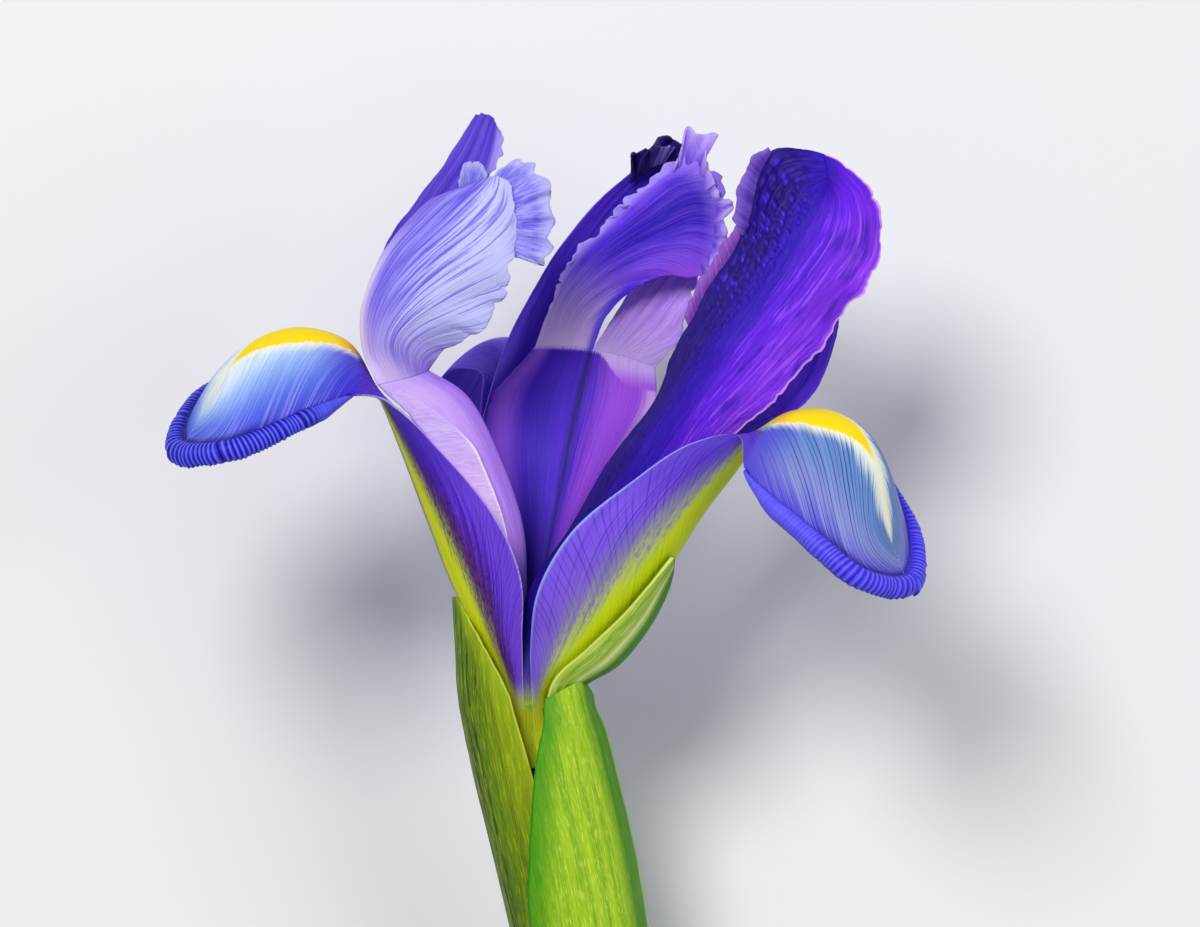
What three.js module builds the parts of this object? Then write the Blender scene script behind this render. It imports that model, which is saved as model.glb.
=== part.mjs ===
// A picked iris flower with a short length of stem, laid on its back on a flat surface.
// Millimetres. The flower is drawn upright in its own frame: +Y runs up the stem into the bloom, +X to the
// viewer's right and +Z towards the viewer, with zero where the petals join the perianth tube.
// The whole flower is then tipped back until the cut end of the stem and the back fall rest on the surface.

import * as THREE from 'three';
import { mergeGeometries, mergeVertices } from 'three/addons/utils/BufferGeometryUtils.js';

// Driving dimensions
const PETAL_THICKNESS = 0.7;
const BRACT_THICKNESS = 0.8;
const SEAT_GAP = 0.3;

const STEM_RADIUS = 4.6;
const STEM_CUT_RADIUS = 4.5;
const STEM_END = -105;
const SHEATH_NODE = -58;
const OVARY_RADIUS = 3.1;
const OVARY_STALK_RADIUS = 2.7;
const TUBE_RADIUS = 2.2;
const TUBE_RIM_RADIUS = 2.6;
const TUBE_TOP = -0.5;
const STYLE_COLUMN_TOP = 4.7;
const STYLE_COLUMN_RADIUS = 1.0;
const STYLE_COLUMN_FOOT_RADIUS = 0.6;
const FILAMENT_RADIUS = 0.45;
const ANTHER_RADIUS = 0.75;
const ANTHER_STARTS_AT = 0.55;

const FALL_RIM_RADIUS = 1.25;
const RIM_ROLL_DEGREES = 165;
const RIM_RIB = { crown: 1.1, groove: 0.85 };
const STANDARD_WAVE = { height: 0.7, count: 5, startsAt: 0.35 };
const CREST_BITE = 0.35;
const REST_POINT_ON_BACK_FALL = { y: 26, z: -35.92 };

const PURPLE = { deep: 0x3a1fa8, violet: 0x5a35c8, lilac: 0x9a86e2, blue: 0x4a55cc };
const GREEN = { stem: 0x5f9a1e, bright: 0x77b81e, olive: 0x8a9a1c, pale: 0xb9cf4a };
const ANTHER_CREAM = 0xe8dcb0;

// Curves through hand-placed stations. Each station of a petal gives three points across it:
// one margin, the midrib and the other margin. Between them the section is a parabola.

const vector = (point) => new THREE.Vector3(...point);

function railsOf(stations) {
  return [0, 1, 2].map((place) => stations.map((station) => vector(station[place])));
}

function openSurface(stations) {
  const [first, middle, last] = railsOf(stations).map((points) => new THREE.CatmullRomCurve3(points));
  return {
    sections: (u) => [first.getPoint(u), middle.getPoint(u), last.getPoint(u)],
    tangents: (u) => [first.getTangent(u), last.getTangent(u).negate()],
  };
}

// Both margins of a petal run into one another round its tip, so they are one curve there.
function tippedSurface(stations) {
  const [first, middle, last] = railsOf(stations);
  const margin = new THREE.CatmullRomCurve3([...first, ...last.slice(0, -1).reverse()]);
  const midrib = new THREE.CatmullRomCurve3(middle);
  return {
    sections: (u) => [margin.getPoint(u / 2), midrib.getPoint(u), margin.getPoint(1 - u / 2)],
    tangents: (u) => [margin.getTangent(u / 2), margin.getTangent(1 - u / 2)],
  };
}

function pointAcross([first, middle, last], v) {
  const half = last.clone().sub(first).multiplyScalar(0.5);
  const lift = last.clone().add(first).multiplyScalar(0.5).sub(middle);
  return middle.clone().addScaledVector(half, v).addScaledVector(lift, v * v);
}

// The outward direction in the surface and the surface's normal at a margin, side -1 or 1.
function marginFrame(surface, u, side) {
  const [first, middle, last] = surface.sections(u);
  const half = last.clone().sub(first).multiplyScalar(0.5);
  const lift = last.clone().add(first).multiplyScalar(0.5).sub(middle);
  const tangent = surface.tangents(u)[side < 0 ? 0 : 1];
  const outward = half.multiplyScalar(side).addScaledVector(lift, 2);
  outward.addScaledVector(tangent, -outward.dot(tangent)).normalize();
  const normal = new THREE.Vector3().crossVectors(tangent, outward).normalize();
  return { margin: side < 0 ? first : last, outward, normal };
}

// A grid of rows along the petal and columns across it. Past either margin a band may follow:
// band(u, side, step) gives its points, and null where the petal has no band.
function petalGrid({ surface, rows, columns, bandSteps = 0, band, wave }) {
  const across = columns + 2 * bandSteps;
  const grid = new THREE.PlaneGeometry(1, 1, across, rows);
  grid.deleteAttribute('normal');
  grid.deleteAttribute('uv');
  const position = grid.attributes.position;
  for (let row = 0; row <= rows; row += 1) {
    const u = row / rows;
    const sections = surface.sections(u);
    for (let column = 0; column <= across; column += 1) {
      const v = (2 * (column - bandSteps)) / columns - 1;
      const side = v < 0 ? -1 : 1;
      const step = Math.max(0, bandSteps - column, column - bandSteps - columns);
      let point = pointAcross(sections, THREE.MathUtils.clamp(v, -1, 1));
      if (step > 0) {
        point = band(u, side, step / bandSteps, row) ?? point;
      } else if (wave) {
        point.add(wave(u, v, row));
      }
      position.setXYZ(row * (across + 1) + column, point.x, point.y, point.z);
    }
  }
  return grid;
}

// Sheets that share a row are welded, given their thickness half to each side, and closed round the edge.
function solidSheet(grids, thickness) {
  const sheet = mergeVertices(mergeGeometries(grids), 1e-3);
  const points = sheet.attributes.position;
  const corners = sheet.index.array;
  const triangles = [];
  for (let at = 0; at < corners.length; at += 3) {
    const [a, b, c] = corners.slice(at, at + 3);
    if (a !== b && b !== c && c !== a) {
      triangles.push([a, b, c]);
    }
  }
  const corner = (index) => new THREE.Vector3().fromBufferAttribute(points, index);
  const normals = Array.from({ length: points.count }, () => new THREE.Vector3());
  const edgeUses = new Map();
  for (const triangle of triangles) {
    const [a, b, c] = triangle.map(corner);
    const facing = b.sub(a).cross(c.sub(a));
    triangle.forEach((index) => normals[index].add(facing));
    triangle.forEach((from, place) => edgeUses.set(`${from}_${triangle[(place + 1) % 3]}`, true));
  }
  const count = points.count;
  const vertices = new Float32Array(count * 6);
  normals.forEach((normal, index) => {
    const offset = normal.normalize().multiplyScalar(thickness / 2);
    corner(index).add(offset).toArray(vertices, index * 3);
    corner(index).sub(offset).toArray(vertices, (count + index) * 3);
  });
  const faces = [];
  for (const triangle of triangles) {
    const [a, b, c] = triangle;
    faces.push(a, b, c, count + a, count + c, count + b);
    triangle.forEach((from, place) => {
      const to = triangle[(place + 1) % 3];
      if (!edgeUses.has(`${to}_${from}`)) {
        faces.push(from, count + from, count + to, from, count + to, to);
      }
    });
  }
  const solid = new THREE.BufferGeometry();
  solid.setAttribute('position', new THREE.BufferAttribute(vertices, 3));
  solid.setIndex(faces);
  return solid;
}

function piece(name, geometry, colour, roughness = 0.55) {
  geometry.computeVertexNormals();
  const material = new THREE.MeshStandardMaterial({ color: colour, roughness, metalness: 0 });
  const mesh = new THREE.Mesh(geometry, material);
  mesh.name = name;
  return mesh;
}

// Falls: the three outer petals. A narrow channelled haft rises from the tube, bends over, and the blade
// hangs from the bend like a saddle. Its margin is gathered into a ribbed, rolled rim.

const leftFallStations = [
  [[-1.0, 0, 1.96], [-2.0, 0, 0.93], [-2.14, 0, -0.5]],
  [[-0.9, 7, 4.2], [-5.4, 7, 2.7], [-5.2, 8, -0.6]],
  [[-1.0, 14.5, 6.6], [-8.6, 14, 4.2], [-8.2, 14.5, -1.4]],
  [[-4.0, 22, 8.6], [-12.0, 22.5, 6.0], [-11.0, 22.5, -1.0]],
  [[-11.6, 31, 9.8], [-15.5, 31, 7.4], [-14.6, 30, 0.6]],
  [[-17.3, 36.7, 11.8], [-18.9, 38.4, 8.2], [-18.4, 37, 2.6]],
  [[-21.6, 37.4, 15.2], [-22.2, 44.0, 9.8], [-23.5, 39.5, 1.6]],
  [[-26.6, 35.8, 18.6], [-28.3, 45.7, 12.6], [-30.4, 40.2, 3.6]],
  [[-31.6, 33.6, 20.8], [-33.8, 43.6, 15.2], [-36.2, 39.8, 6.6]],
  [[-37.0, 31.4, 22.2], [-37.8, 39.4, 17.6], [-40.4, 37.2, 11.2]],
  [[-42.0, 31.8, 18.0], [-39.8, 35.6, 18.4], [-42.0, 31.8, 18.0]],
];

const rightFallStations = [
  [[1.0, 0, 1.96], [2.0, 0, 0.93], [2.14, 0, -0.5]],
  [[0.7, 7.5, 4.8], [6.6, 5.6, 3.2], [5.4, 7.5, -2.2]],
  [[1.6, 13.6, 8.0], [11.6, 11.0, 5.2], [8.4, 13.0, -4.0]],
  [[5.7, 20.6, 10.2], [16.5, 17.0, 7.2], [13.0, 18.5, -4.2]],
  [[12.6, 26.2, 11.6], [21.5, 23.0, 9.2], [18.2, 24.0, -3.0]],
  [[20.4, 31.3, 12.8], [26.0, 28.8, 10.8], [24.0, 29.4, -0.4]],
  [[26.2, 32.4, 13.8], [28.8, 33.0, 11.8], [28.6, 32.4, 3.0]],
  [[27.2, 28.2, 16.6], [31.6, 34.9, 13.2], [32.6, 33.2, 4.4]],
  [[29.9, 25.8, 19.6], [36.0, 35.2, 14.9], [37.8, 32.2, 5.6]],
  [[33.4, 22.8, 22.2], [40.4, 33.0, 16.9], [42.2, 29.4, 8.0]],
  [[37.4, 19.2, 24.0], [43.0, 28.8, 18.6], [45.0, 25.8, 11.0]],
  [[41.4, 15.8, 24.4], [44.0, 23.8, 20.0], [47.0, 20.8, 14.0]],
  [[46.6, 15.2, 19.8], [44.8, 19.4, 20.6], [46.6, 15.2, 19.8]],
];

const backFallStations = [
  [[1.25, 0, -1.85], [-0.15, 0, -2.2], [-1.5, 0, -1.65]],
  [[2.6, 7.5, -4.2], [-0.4, 7, -6.4], [-2.4, 7.5, -4.6]],
  [[4.4, 15, -8.0], [-0.7, 14, -11.0], [-4.4, 15, -8.2]],
  [[5.4, 23, -11.4], [-1.0, 22, -15.2], [-6.0, 23, -11.6]],
  [[5.0, 30.5, -14.4], [-1.4, 30, -18.4], [-6.6, 30, -14.6]],
  [[3.0, 37, -17.2], [-1.8, 37, -20.8], [-6.0, 36.5, -17.2]],
  [[1.4, 40.5, -20.0], [-2.3, 42, -23.0], [-6.0, 40.5, -19.8]],
  [[4.2, 41.0, -24.2], [-3.0, 45, -27.0], [-9.8, 41.0, -24.0]],
  [[6.8, 38.0, -29.2], [-2.8, 43.2, -32.4], [-12.0, 38.0, -28.8]],
  [[9.6, 32.2, -34.0], [-1.0, 36.8, -36.2], [-11.6, 32.2, -33.6]],
  [[9.4, 25.4, -35.6], [0.8, 29.4, -37.5], [-8.0, 25.8, -35.4]],
  [[1.6, 19.4, -35.2], [1.4, 23.4, -37.2], [1.6, 19.4, -35.2]],
];

// The rim leaves the blade's edge upwards and rolls over outwards, pinched at every other row.
function rolledRim(surface, bendAt, topSide) {
  const wholeRoll = THREE.MathUtils.degToRad(RIM_ROLL_DEGREES);
  return (u, side, step, row) => {
    if (u < bendAt) {
      return null;
    }
    const { margin, outward, normal } = marginFrame(surface, u, side);
    const radius = FALL_RIM_RADIUS * (row % 2 === 0 ? RIM_RIB.crown : RIM_RIB.groove);
    const turn = wholeRoll * step;
    return margin.clone()
      .addScaledVector(outward, radius * (1 - Math.cos(turn)))
      .addScaledVector(normal, topSide * radius * Math.sin(turn));
  };
}

function fall(name, stations, bendStation, topSide, press = (grid) => grid) {
  const surface = tippedSurface(stations);
  const stretches = stations.length - 1;
  const grid = petalGrid({
    surface,
    rows: stretches * 2,
    columns: 10,
    bandSteps: 2,
    band: rolledRim(surface, bendStation / stretches, topSide),
  });
  return piece(name, solidSheet([press(grid)], PETAL_THICKNESS), PURPLE.blue);
}

// Standards: the three inner petals. A slim claw widens into an upright blade with a waved margin.

const frontStandardStations = [
  [[-0.75, 0, 1.05], [0, 0, 1.3], [0.75, 0, 1.05]],
  [[-0.9, 7, 2.7], [0.4, 7.5, 3.0], [1.8, 7.5, 2.9]],
  [[0.8, 14, 4.0], [3.4, 13.6, 4.8], [6.2, 13, 4.8]],
  [[5.6, 21.2, 5.0], [8.6, 19.6, 6.4], [12.2, 18, 6.2]],
  [[10.8, 29.5, 5.0], [14.2, 27.4, 7.2], [19.0, 25.0, 7.4]],
  [[16.2, 36.4, 4.6], [19.4, 35.6, 7.6], [25.2, 32.2, 7.8]],
  [[19.6, 45.1, 3.6], [24.2, 42.8, 7.8], [30.6, 37.0, 7.0]],
  [[23.2, 51.6, 2.4], [28.4, 48.6, 7.4], [35.6, 42.4, 6.0]],
  [[26.8, 58.0, 1.2], [32.2, 54.0, 6.8], [40.2, 48.8, 4.8]],
  [[27.6, 64.0, 0.4], [35.0, 58.8, 6.0], [44.2, 55.6, 3.6]],
  [[30.4, 68.2, 1.0], [36.6, 61.8, 5.4], [42.4, 63.6, 3.0]],
  [[37.0, 67.8, 2.4], [37.4, 64.2, 4.4], [37.0, 67.8, 2.4]],
];

const backLeftStandardStations = [
  [[-1.25, 0, -0.15], [-0.95, 0, -0.6], [-0.55, 0, -1.0]],
  [[-4.0, 8, -2.0], [-3.2, 8, -2.7], [-2.2, 8, -3.0]],
  [[-6.3, 16, -4.2], [-4.8, 16, -5.4], [-3.0, 16, -5.8]],
  [[-7.2, 24, -8.0], [-4.0, 24, -9.4], [-0.5, 24, -9.6]],
  [[-6.9, 30.4, -11.4], [-2.4, 31, -12.6], [2.0, 31, -12.4]],
  [[-5.3, 36.4, -13.2], [-0.5, 37, -14.6], [4.4, 37, -14.2]],
  [[-3.2, 43.2, -14.0], [2.4, 43.4, -15.6], [7.6, 43.4, -15.2]],
  [[0.5, 50.4, -14.4], [5.0, 50.2, -16.0], [9.4, 50, -15.6]],
  [[5.6, 58.0, -14.2], [9.6, 57, -15.6], [13.6, 55.6, -15.2]],
  [[10.4, 63.2, -13.4], [13.4, 62, -14.4], [17.6, 60.6, -14.2]],
  [[17.4, 68.2, -12.6], [15.8, 65.6, -13.4], [17.4, 68.2, -12.6]],
];

const backRightStandardStations = [
  [[0.55, 0, -1.0], [0.95, 0, -0.6], [1.25, 0, -0.15]],
  [[2.2, 8, -3.3], [3.4, 8, -3.2], [4.4, 8, -2.9]],
  [[6.0, 17, -6.6], [8.0, 17, -6.4], [10.0, 16, -6.0]],
  [[12.4, 27, -8.6], [14.6, 26.6, -8.8], [17.4, 25, -8.0]],
  [[18.8, 37, -8.6], [21.6, 36.6, -9.6], [25.6, 34, -8.6]],
  [[23.0, 47, -8.0], [27.2, 46, -9.8], [32.4, 42.6, -8.6]],
  [[26.6, 56, -7.4], [31.4, 54.4, -9.4], [38.0, 51.4, -8.0]],
  [[32.8, 64, -6.8], [32.6, 60.4, -8.2], [32.8, 64, -6.8]],
];

// Waves grow towards the margin and towards the top, and lie across the surface.
function marginWave(surface, { height, count, startsAt }) {
  return (u, v) => {
    const { normal } = marginFrame(surface, Math.min(u, 0.98), v < 0 ? -1 : 1);
    const reach = Math.max(0, (u - startsAt) / (1 - startsAt));
    const edge = Math.abs(v) ** 3 * (1 - u ** 12);
    return normal.multiplyScalar(height * reach * edge * Math.sin(count * u * Math.PI * 2 + v));
  };
}

function standard(name, stations, columns, colour) {
  const surface = tippedSurface(stations);
  const grid = petalGrid({
    surface,
    rows: (stations.length - 1) * 2,
    columns,
    wave: marginWave(surface, STANDARD_WAVE),
  });
  return piece(name, solidSheet([grid], PETAL_THICKNESS), colour);
}

// Style arms: three petal-like branches of the style, each roofing its fall's haft and ending in a pair
// of upright crests with cut edges. The crests start from the two halves of the arm's last section.

const leftArm = {
  arm: [
    [[-1.3, 5, 1.3], [-0.55, 5, 0.3], [-1.2, 5, -0.6]],
    [[-3.0, 12.5, 4.4], [-0.3, 13.5, 1.6], [-4.2, 13.5, -0.8]],
    [[-5.2, 20, 6.6], [-0.7, 21, 3.2], [-7.2, 21, -0.4]],
    [[-8.6, 27.6, 8.0], [-3.4, 29.4, 5.0], [-10.8, 28.6, 1.0]],
    [[-13.2, 34.2, 9.4], [-7.6, 37.4, 6.6], [-14.6, 35.6, 3.2]],
    [[-16.8, 38.8, 10.4], [-12.5, 40.6, 8.0], [-18.0, 40.8, 5.0]],
  ],
  near: [
    [[-19.6, 42.2, 10.8], [-16.4, 43.8, 12.0], [-10.1, 43.4, 9.4]],
    [[-19.4, 47.6, 10.8], [-14.4, 49.0, 13.4], [-5.9, 46.4, 11.0]],
    [[-17.0, 52.6, 10.6], [-11.6, 53.8, 13.6], [-3.1, 49.8, 11.8]],
    [[-13.6, 57.0, 10.2], [-8.6, 58.0, 13.0], [-2.0, 54.0, 11.6]],
    [[-9.8, 60.6, 9.6], [-5.6, 61.4, 11.8], [-1.4, 58.4, 11.0]],
    [[-6.2, 63.2, 9.0], [-3.8, 64.2, 10.6], [-1.7, 62.2, 10.4]],
  ],
  far: [
    [[-12.6, 45.6, 6.0], [-17.4, 46.2, 5.0], [-20.9, 46.0, 4.4]],
    [[-11.6, 51.4, 4.4], [-16.2, 51.8, 3.6], [-19.7, 52.0, 3.0]],
    [[-9.6, 56.4, 3.6], [-13.6, 57.0, 2.8], [-16.6, 57.2, 2.4]],
    [[-7.4, 61.2, 3.2], [-10.6, 62.0, 2.4], [-13.0, 62.2, 2.0]],
    [[-4.6, 65.2, 3.2], [-7.6, 66.8, 2.6], [-9.4, 67.6, 2.2]],
    [[-3.5, 71.2, 3.4], [-4.8, 72.4, 3.0], [-6.0, 73.0, 2.8]],
  ],
  nearFlap: { from: 0.72, reach: 4.4, lift: 1.54 },
};

const backArm = {
  arm: [
    [[-0.9, 5, -1.9], [0.0, 5, -1.0], [0.9, 5, -1.9]],
    [[-1.8, 13, -4.2], [1.5, 13, -2.6], [3.0, 13, -4.4]],
    [[-3.4, 22, -7.0], [3.4, 22, -4.8], [6.4, 21.5, -6.8]],
    [[-5.4, 31, -9.4], [5.4, 31.4, -7.2], [12.0, 30.5, -9.0]],
    [[-5.0, 37, -10.8], [6.8, 37.6, -8.8], [15.8, 36.6, -10.4]],
    [[0.1, 43.6, -11.8], [8.1, 43.6, -10.2], [15.9, 41.4, -11.4]],
  ],
  near: [
    [[2.8, 48.4, -12.0], [5.8, 48.6, -11.4], [9.6, 47.4, -10.6]],
    [[4.4, 53.2, -11.2], [9.0, 52.8, -10.0], [12.3, 50.2, -9.8]],
    [[7.6, 57.4, -10.4], [12.6, 56.0, -8.8], [15.0, 51.9, -9.2]],
    [[11.4, 60.8, -9.6], [16.8, 58.6, -8.0], [17.6, 52.5, -8.8]],
    [[15.9, 65.0, -9.0], [21.0, 60.8, -7.6], [19.6, 52.0, -8.4]],
    [[20.4, 69.4, -8.6], [25.2, 61.4, -7.6], [20.6, 50.2, -8.2]],
  ],
  far: [
    [[10.1, 46.6, -12.4], [14.2, 46.0, -12.6], [19.0, 44.2, -12.0]],
    [[12.1, 49.8, -13.4], [16.4, 50.0, -13.4], [20.5, 48.4, -12.6]],
    [[14.2, 53.2, -13.2], [18.4, 53.6, -13.4], [21.6, 52.4, -12.8]],
    [[16.2, 56.6, -12.8], [20.0, 57.2, -13.2], [22.6, 56.0, -12.8]],
  ],
};

const rightArm = {
  arm: [
    [[1.3, 5, 1.0], [0.6, 5, 0.2], [1.3, 5, -0.7]],
    [[4.4, 12, 2.4], [2.9, 13, 0.8], [4.4, 13, -1.0]],
    [[9.6, 18.5, 3.6], [7.4, 20.5, 1.6], [9.0, 20.5, -1.4]],
    [[15.6, 24.4, 4.4], [13.2, 27.0, 2.2], [14.4, 26.5, -1.2]],
    [[22.2, 30.4, 4.6], [19.6, 33.0, 2.6], [21.2, 32.0, -0.8]],
    [[30.0, 36.0, 3.6], [25.8, 38.0, 2.8], [28.8, 37.2, -0.8]],
  ],
  near: [
    [[34.6, 38.2, 2.8], [31.0, 40.6, 3.0], [27.2, 41.8, 2.0]],
    [[37.6, 43.6, 2.2], [33.0, 45.6, 2.4], [28.2, 47.0, 1.2]],
    [[37.8, 49.4, 1.4], [33.6, 51.0, 1.6], [29.2, 52.0, 0.2]],
    [[35.4, 56.4, 0.2], [33.4, 56.8, 0.6], [30.6, 57.2, -0.4]],
  ],
  far: [
    [[26.6, 42.6, -1.6], [29.6, 41.8, -3.0], [32.4, 40.0, -3.0]],
    [[27.2, 47.6, -3.2], [30.6, 47.0, -4.0], [33.4, 46.0, -3.8]],
    [[28.0, 52.6, -4.0], [31.4, 52.4, -4.6], [33.6, 51.4, -4.4]],
    [[29.4, 57.0, -4.2], [31.6, 57.0, -4.6], [33.2, 56.4, -4.4]],
  ],
};

// The crest's cut edge: its outermost rows and columns step in and out by about half a millimetre.
function cutEdge(surface) {
  return (u, v, row) => {
    const { outward } = marginFrame(surface, Math.min(u, 0.98), v < 0 ? -1 : 1);
    const edge = Math.abs(v) ** 6 * Math.min(1, u * 2);
    return outward.multiplyScalar((row % 2 === 0 ? CREST_BITE : -CREST_BITE) * edge);
  };
}

function styleArm(name, { arm, near, far, nearFlap }, colour) {
  const halfColumns = 6;
  const armRows = 8;
  const armSurface = openSurface(arm);
  const endSection = railsOf(arm).map((points) => points.at(-1));
  const endPoints = (from, to) => {
    const middle = (from + to) / 2;
    return [from, middle, to].map((v) => pointAcross(endSection, v).toArray());
  };
  const nearSurface = openSurface([endPoints(-1, 0), ...near]);
  const farSurface = openSurface([endPoints(0, 1), ...far]);
  const flapSteps = nearFlap ? 2 : 0;
  const flap = (u, side, step) => {
    if (side < 0 || u < nearFlap.from) {
      return null;
    }
    const { margin, outward, normal } = marginFrame(nearSurface, u, side);
    return margin.clone()
      .addScaledVector(outward, nearFlap.reach * step)
      .addScaledVector(normal, nearFlap.lift * step);
  };
  const grids = [
    petalGrid({ surface: armSurface, rows: armRows, columns: halfColumns * 2 }),
    petalGrid({
      surface: nearSurface,
      rows: near.length * 2,
      columns: halfColumns,
      bandSteps: flapSteps,
      band: flap,
      wave: cutEdge(nearSurface),
    }),
    petalGrid({
      surface: farSurface,
      rows: far.length * 2,
      columns: halfColumns,
      wave: cutEdge(farSurface),
    }),
  ];
  return piece(name, solidSheet(grids, PETAL_THICKNESS), colour);
}

// Stamens: a thin filament rises from the foot of each fall's haft and carries a long anther,
// which lies hidden between the haft and the style arm.

const stamenPaths = {
  stamen_left: [[-2.3, 3.4, 1.0], [-4.9, 13, 2.4], [-7.4, 21, 3.6], [-9.8, 26.6, 4.8], [-11.4, 30, 5.6]],
  stamen_right: [[2.8, 3.4, 0.9], [7.6, 13.4, 1.6], [12.6, 20, 1.6], [18.4, 26.4, 1.8], [22.4, 29.6, 2.0]],
  stamen_back: [[0.1, 3.4, -2.6], [0.8, 13, -6.6], [1.2, 21, -10.4], [1.0, 28, -13.2], [0.6, 32.4, -15.2]],
};

function stamen(name, path) {
  const sides = 6;
  const steps = 12;
  const section = new THREE.Shape();
  for (let corner = 0; corner < sides; corner += 1) {
    const angle = (corner / sides) * Math.PI * 2;
    const point = new THREE.Vector2(Math.cos(angle), Math.sin(angle)).multiplyScalar(FILAMENT_RADIUS);
    if (corner === 0) {
      section.moveTo(point.x, point.y);
    } else {
      section.lineTo(point.x, point.y);
    }
  }
  const curve = new THREE.CatmullRomCurve3(path.map(vector));
  const rod = new THREE.ExtrudeGeometry(section, { steps, bevelEnabled: false, extrudePath: curve });
  rod.deleteAttribute('normal');
  rod.deleteAttribute('uv');
  const solid = mergeVertices(rod, 1e-4);
  const position = solid.attributes.position;
  const centres = curve.getSpacedPoints(steps);
  const antherStart = Math.round(steps * ANTHER_STARTS_AT);
  for (let index = 0; index < position.count; index += 1) {
    const point = new THREE.Vector3().fromBufferAttribute(position, index);
    const nearest = centres.reduce((best, centre) => (
      centre.distanceTo(point) < best.distanceTo(point) ? centre : best));
    if (centres.indexOf(nearest) >= antherStart) {
      point.sub(nearest).multiplyScalar(ANTHER_RADIUS / FILAMENT_RADIUS).add(nearest);
      position.setXYZ(index, point.x, point.y, point.z);
    }
  }
  return piece(name, solid, ANTHER_CREAM, 0.8);
}

// The stem leans to the viewer's right on its way down. It carries the ovary and the perianth tube,
// and the short style column stands on the tube between the petals.

const stemLean = new THREE.CatmullRomCurve3([
  [0, 6, 0], [0, 0, 0], [1.6, -8, 0], [5.8, -29, 0], [8.6, -45, 0], [11.2, -63, 0], [13.4, -84, 0], [14.8, -106, 0],
].map(vector));

function leanAt(height) {
  const steps = 200;
  const points = stemLean.getPoints(steps);
  const below = points.findIndex((point) => point.y <= height);
  if (below <= 0) {
    return 0;
  }
  const [from, to] = [points[below - 1], points[below]];
  return THREE.MathUtils.mapLinear(height, from.y, to.y, from.x, to.x);
}

function stemWithOvary() {
  const columnTop = STYLE_COLUMN_TOP - SEAT_GAP;
  const profile = [
    [0, STEM_END],
    [STEM_CUT_RADIUS, STEM_END],
    [STEM_RADIUS, STEM_END + 8],
    [STEM_RADIUS, -82],
    [STEM_RADIUS, -68],
    [STEM_RADIUS + 0.2, SHEATH_NODE - 1],
    [STEM_RADIUS - 0.2, SHEATH_NODE + 1],
    [OVARY_STALK_RADIUS, SHEATH_NODE + 3],
    [OVARY_STALK_RADIUS, -48],
    [OVARY_RADIUS, -42],
    [OVARY_RADIUS, -30],
    [TUBE_RADIUS, -22],
    [TUBE_RADIUS, -8],
    [TUBE_RIM_RADIUS, TUBE_TOP],
    [STYLE_COLUMN_FOOT_RADIUS, TUBE_TOP],
    [STYLE_COLUMN_FOOT_RADIUS, 0.8],
    [STYLE_COLUMN_RADIUS, columnTop - 0.3],
    [STYLE_COLUMN_RADIUS, columnTop],
    [0, columnTop],
  ].map(([radius, height]) => new THREE.Vector2(radius, height));
  const sides = 16;
  const lathe = new THREE.LatheGeometry(profile, sides);
  lathe.deleteAttribute('normal');
  lathe.deleteAttribute('uv');
  const solid = mergeVertices(lathe, 1e-4);
  const position = solid.attributes.position;
  for (let index = 0; index < position.count; index += 1) {
    position.setX(index, position.getX(index) + leanAt(position.getY(index)));
  }
  const corners = Array.from(solid.index.array);
  const kept = [];
  for (let at = 0; at < corners.length; at += 3) {
    const [a, b, c] = corners.slice(at, at + 3);
    if (a !== b && b !== c && c !== a) {
      kept.push(a, b, c);
    }
  }
  solid.setIndex(kept);
  return piece('stem_with_ovary', solid, GREEN.stem, 0.5);
}

// Spathe valves: the leafy bracts round the ovary. Each row of a bract is an arc round the leaning stem:
// height, half width, half depth, and the angles where it starts and ends. Angle 0 faces the viewer's
// right and 90 faces the viewer. The inner valve's rows swing out with the haft that it hugs.

const leftBractRows = [
  [SHEATH_NODE, 5.6, 5.6, 95, 290],
  [-50, 6.4, 6.0, 92, 292],
  [-40, 7.2, 6.4, 92, 290],
  [-29, 7.8, 6.6, 92, 285],
  [-19, 8.2, 6.6, 95, 280],
  [-8, 8.6, 6.4, 100, 270],
  [0, 8.5, 6.2, 112, 250],
  [7, 8.9, 5.4, 142, 225],
  [12.4, 9.7, 4.0, 168, 190],
];

const rightBractRows = [
  [SHEATH_NODE, 6.9, 6.9, -100, 124],
  [-50, 7.8, 7.2, -95, 126],
  [-40, 8.6, 7.6, -92, 126],
  [-29, 9.1, 7.8, -88, 127],
  [-19, 9.4, 7.8, -84, 122],
  [-8, 9.4, 7.6, -76, 100],
  [-3, 9.0, 7.2, -66, 84],
  [1.4, 8.2, 6.6, -52, 52],
];

function bract(name, rows, colour) {
  const columns = 12;
  const heights = rows.map((row) => row[0]);
  const smooth = rows[0].map((_, field) => new THREE.CatmullRomCurve3(
    rows.map((row, index) => new THREE.Vector3(index, row[field], 0))));
  const steps = (rows.length - 1) * 2;
  const grid = new THREE.PlaneGeometry(1, 1, columns, steps);
  grid.deleteAttribute('normal');
  grid.deleteAttribute('uv');
  const position = grid.attributes.position;
  for (let row = 0; row <= steps; row += 1) {
    const [height, wide, deep, from, to] = smooth.map((curve) => curve.getPoint(row / steps).y);
    for (let column = 0; column <= columns; column += 1) {
      const angle = THREE.MathUtils.degToRad(THREE.MathUtils.lerp(from, to, column / columns));
      position.setXYZ(
        row * (columns + 1) + column,
        leanAt(Math.max(height, heights[0])) + wide * Math.cos(angle),
        height,
        deep * Math.sin(angle),
      );
    }
  }
  return piece(name, solidSheet([grid], BRACT_THICKNESS), colour, 0.5);
}

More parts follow.
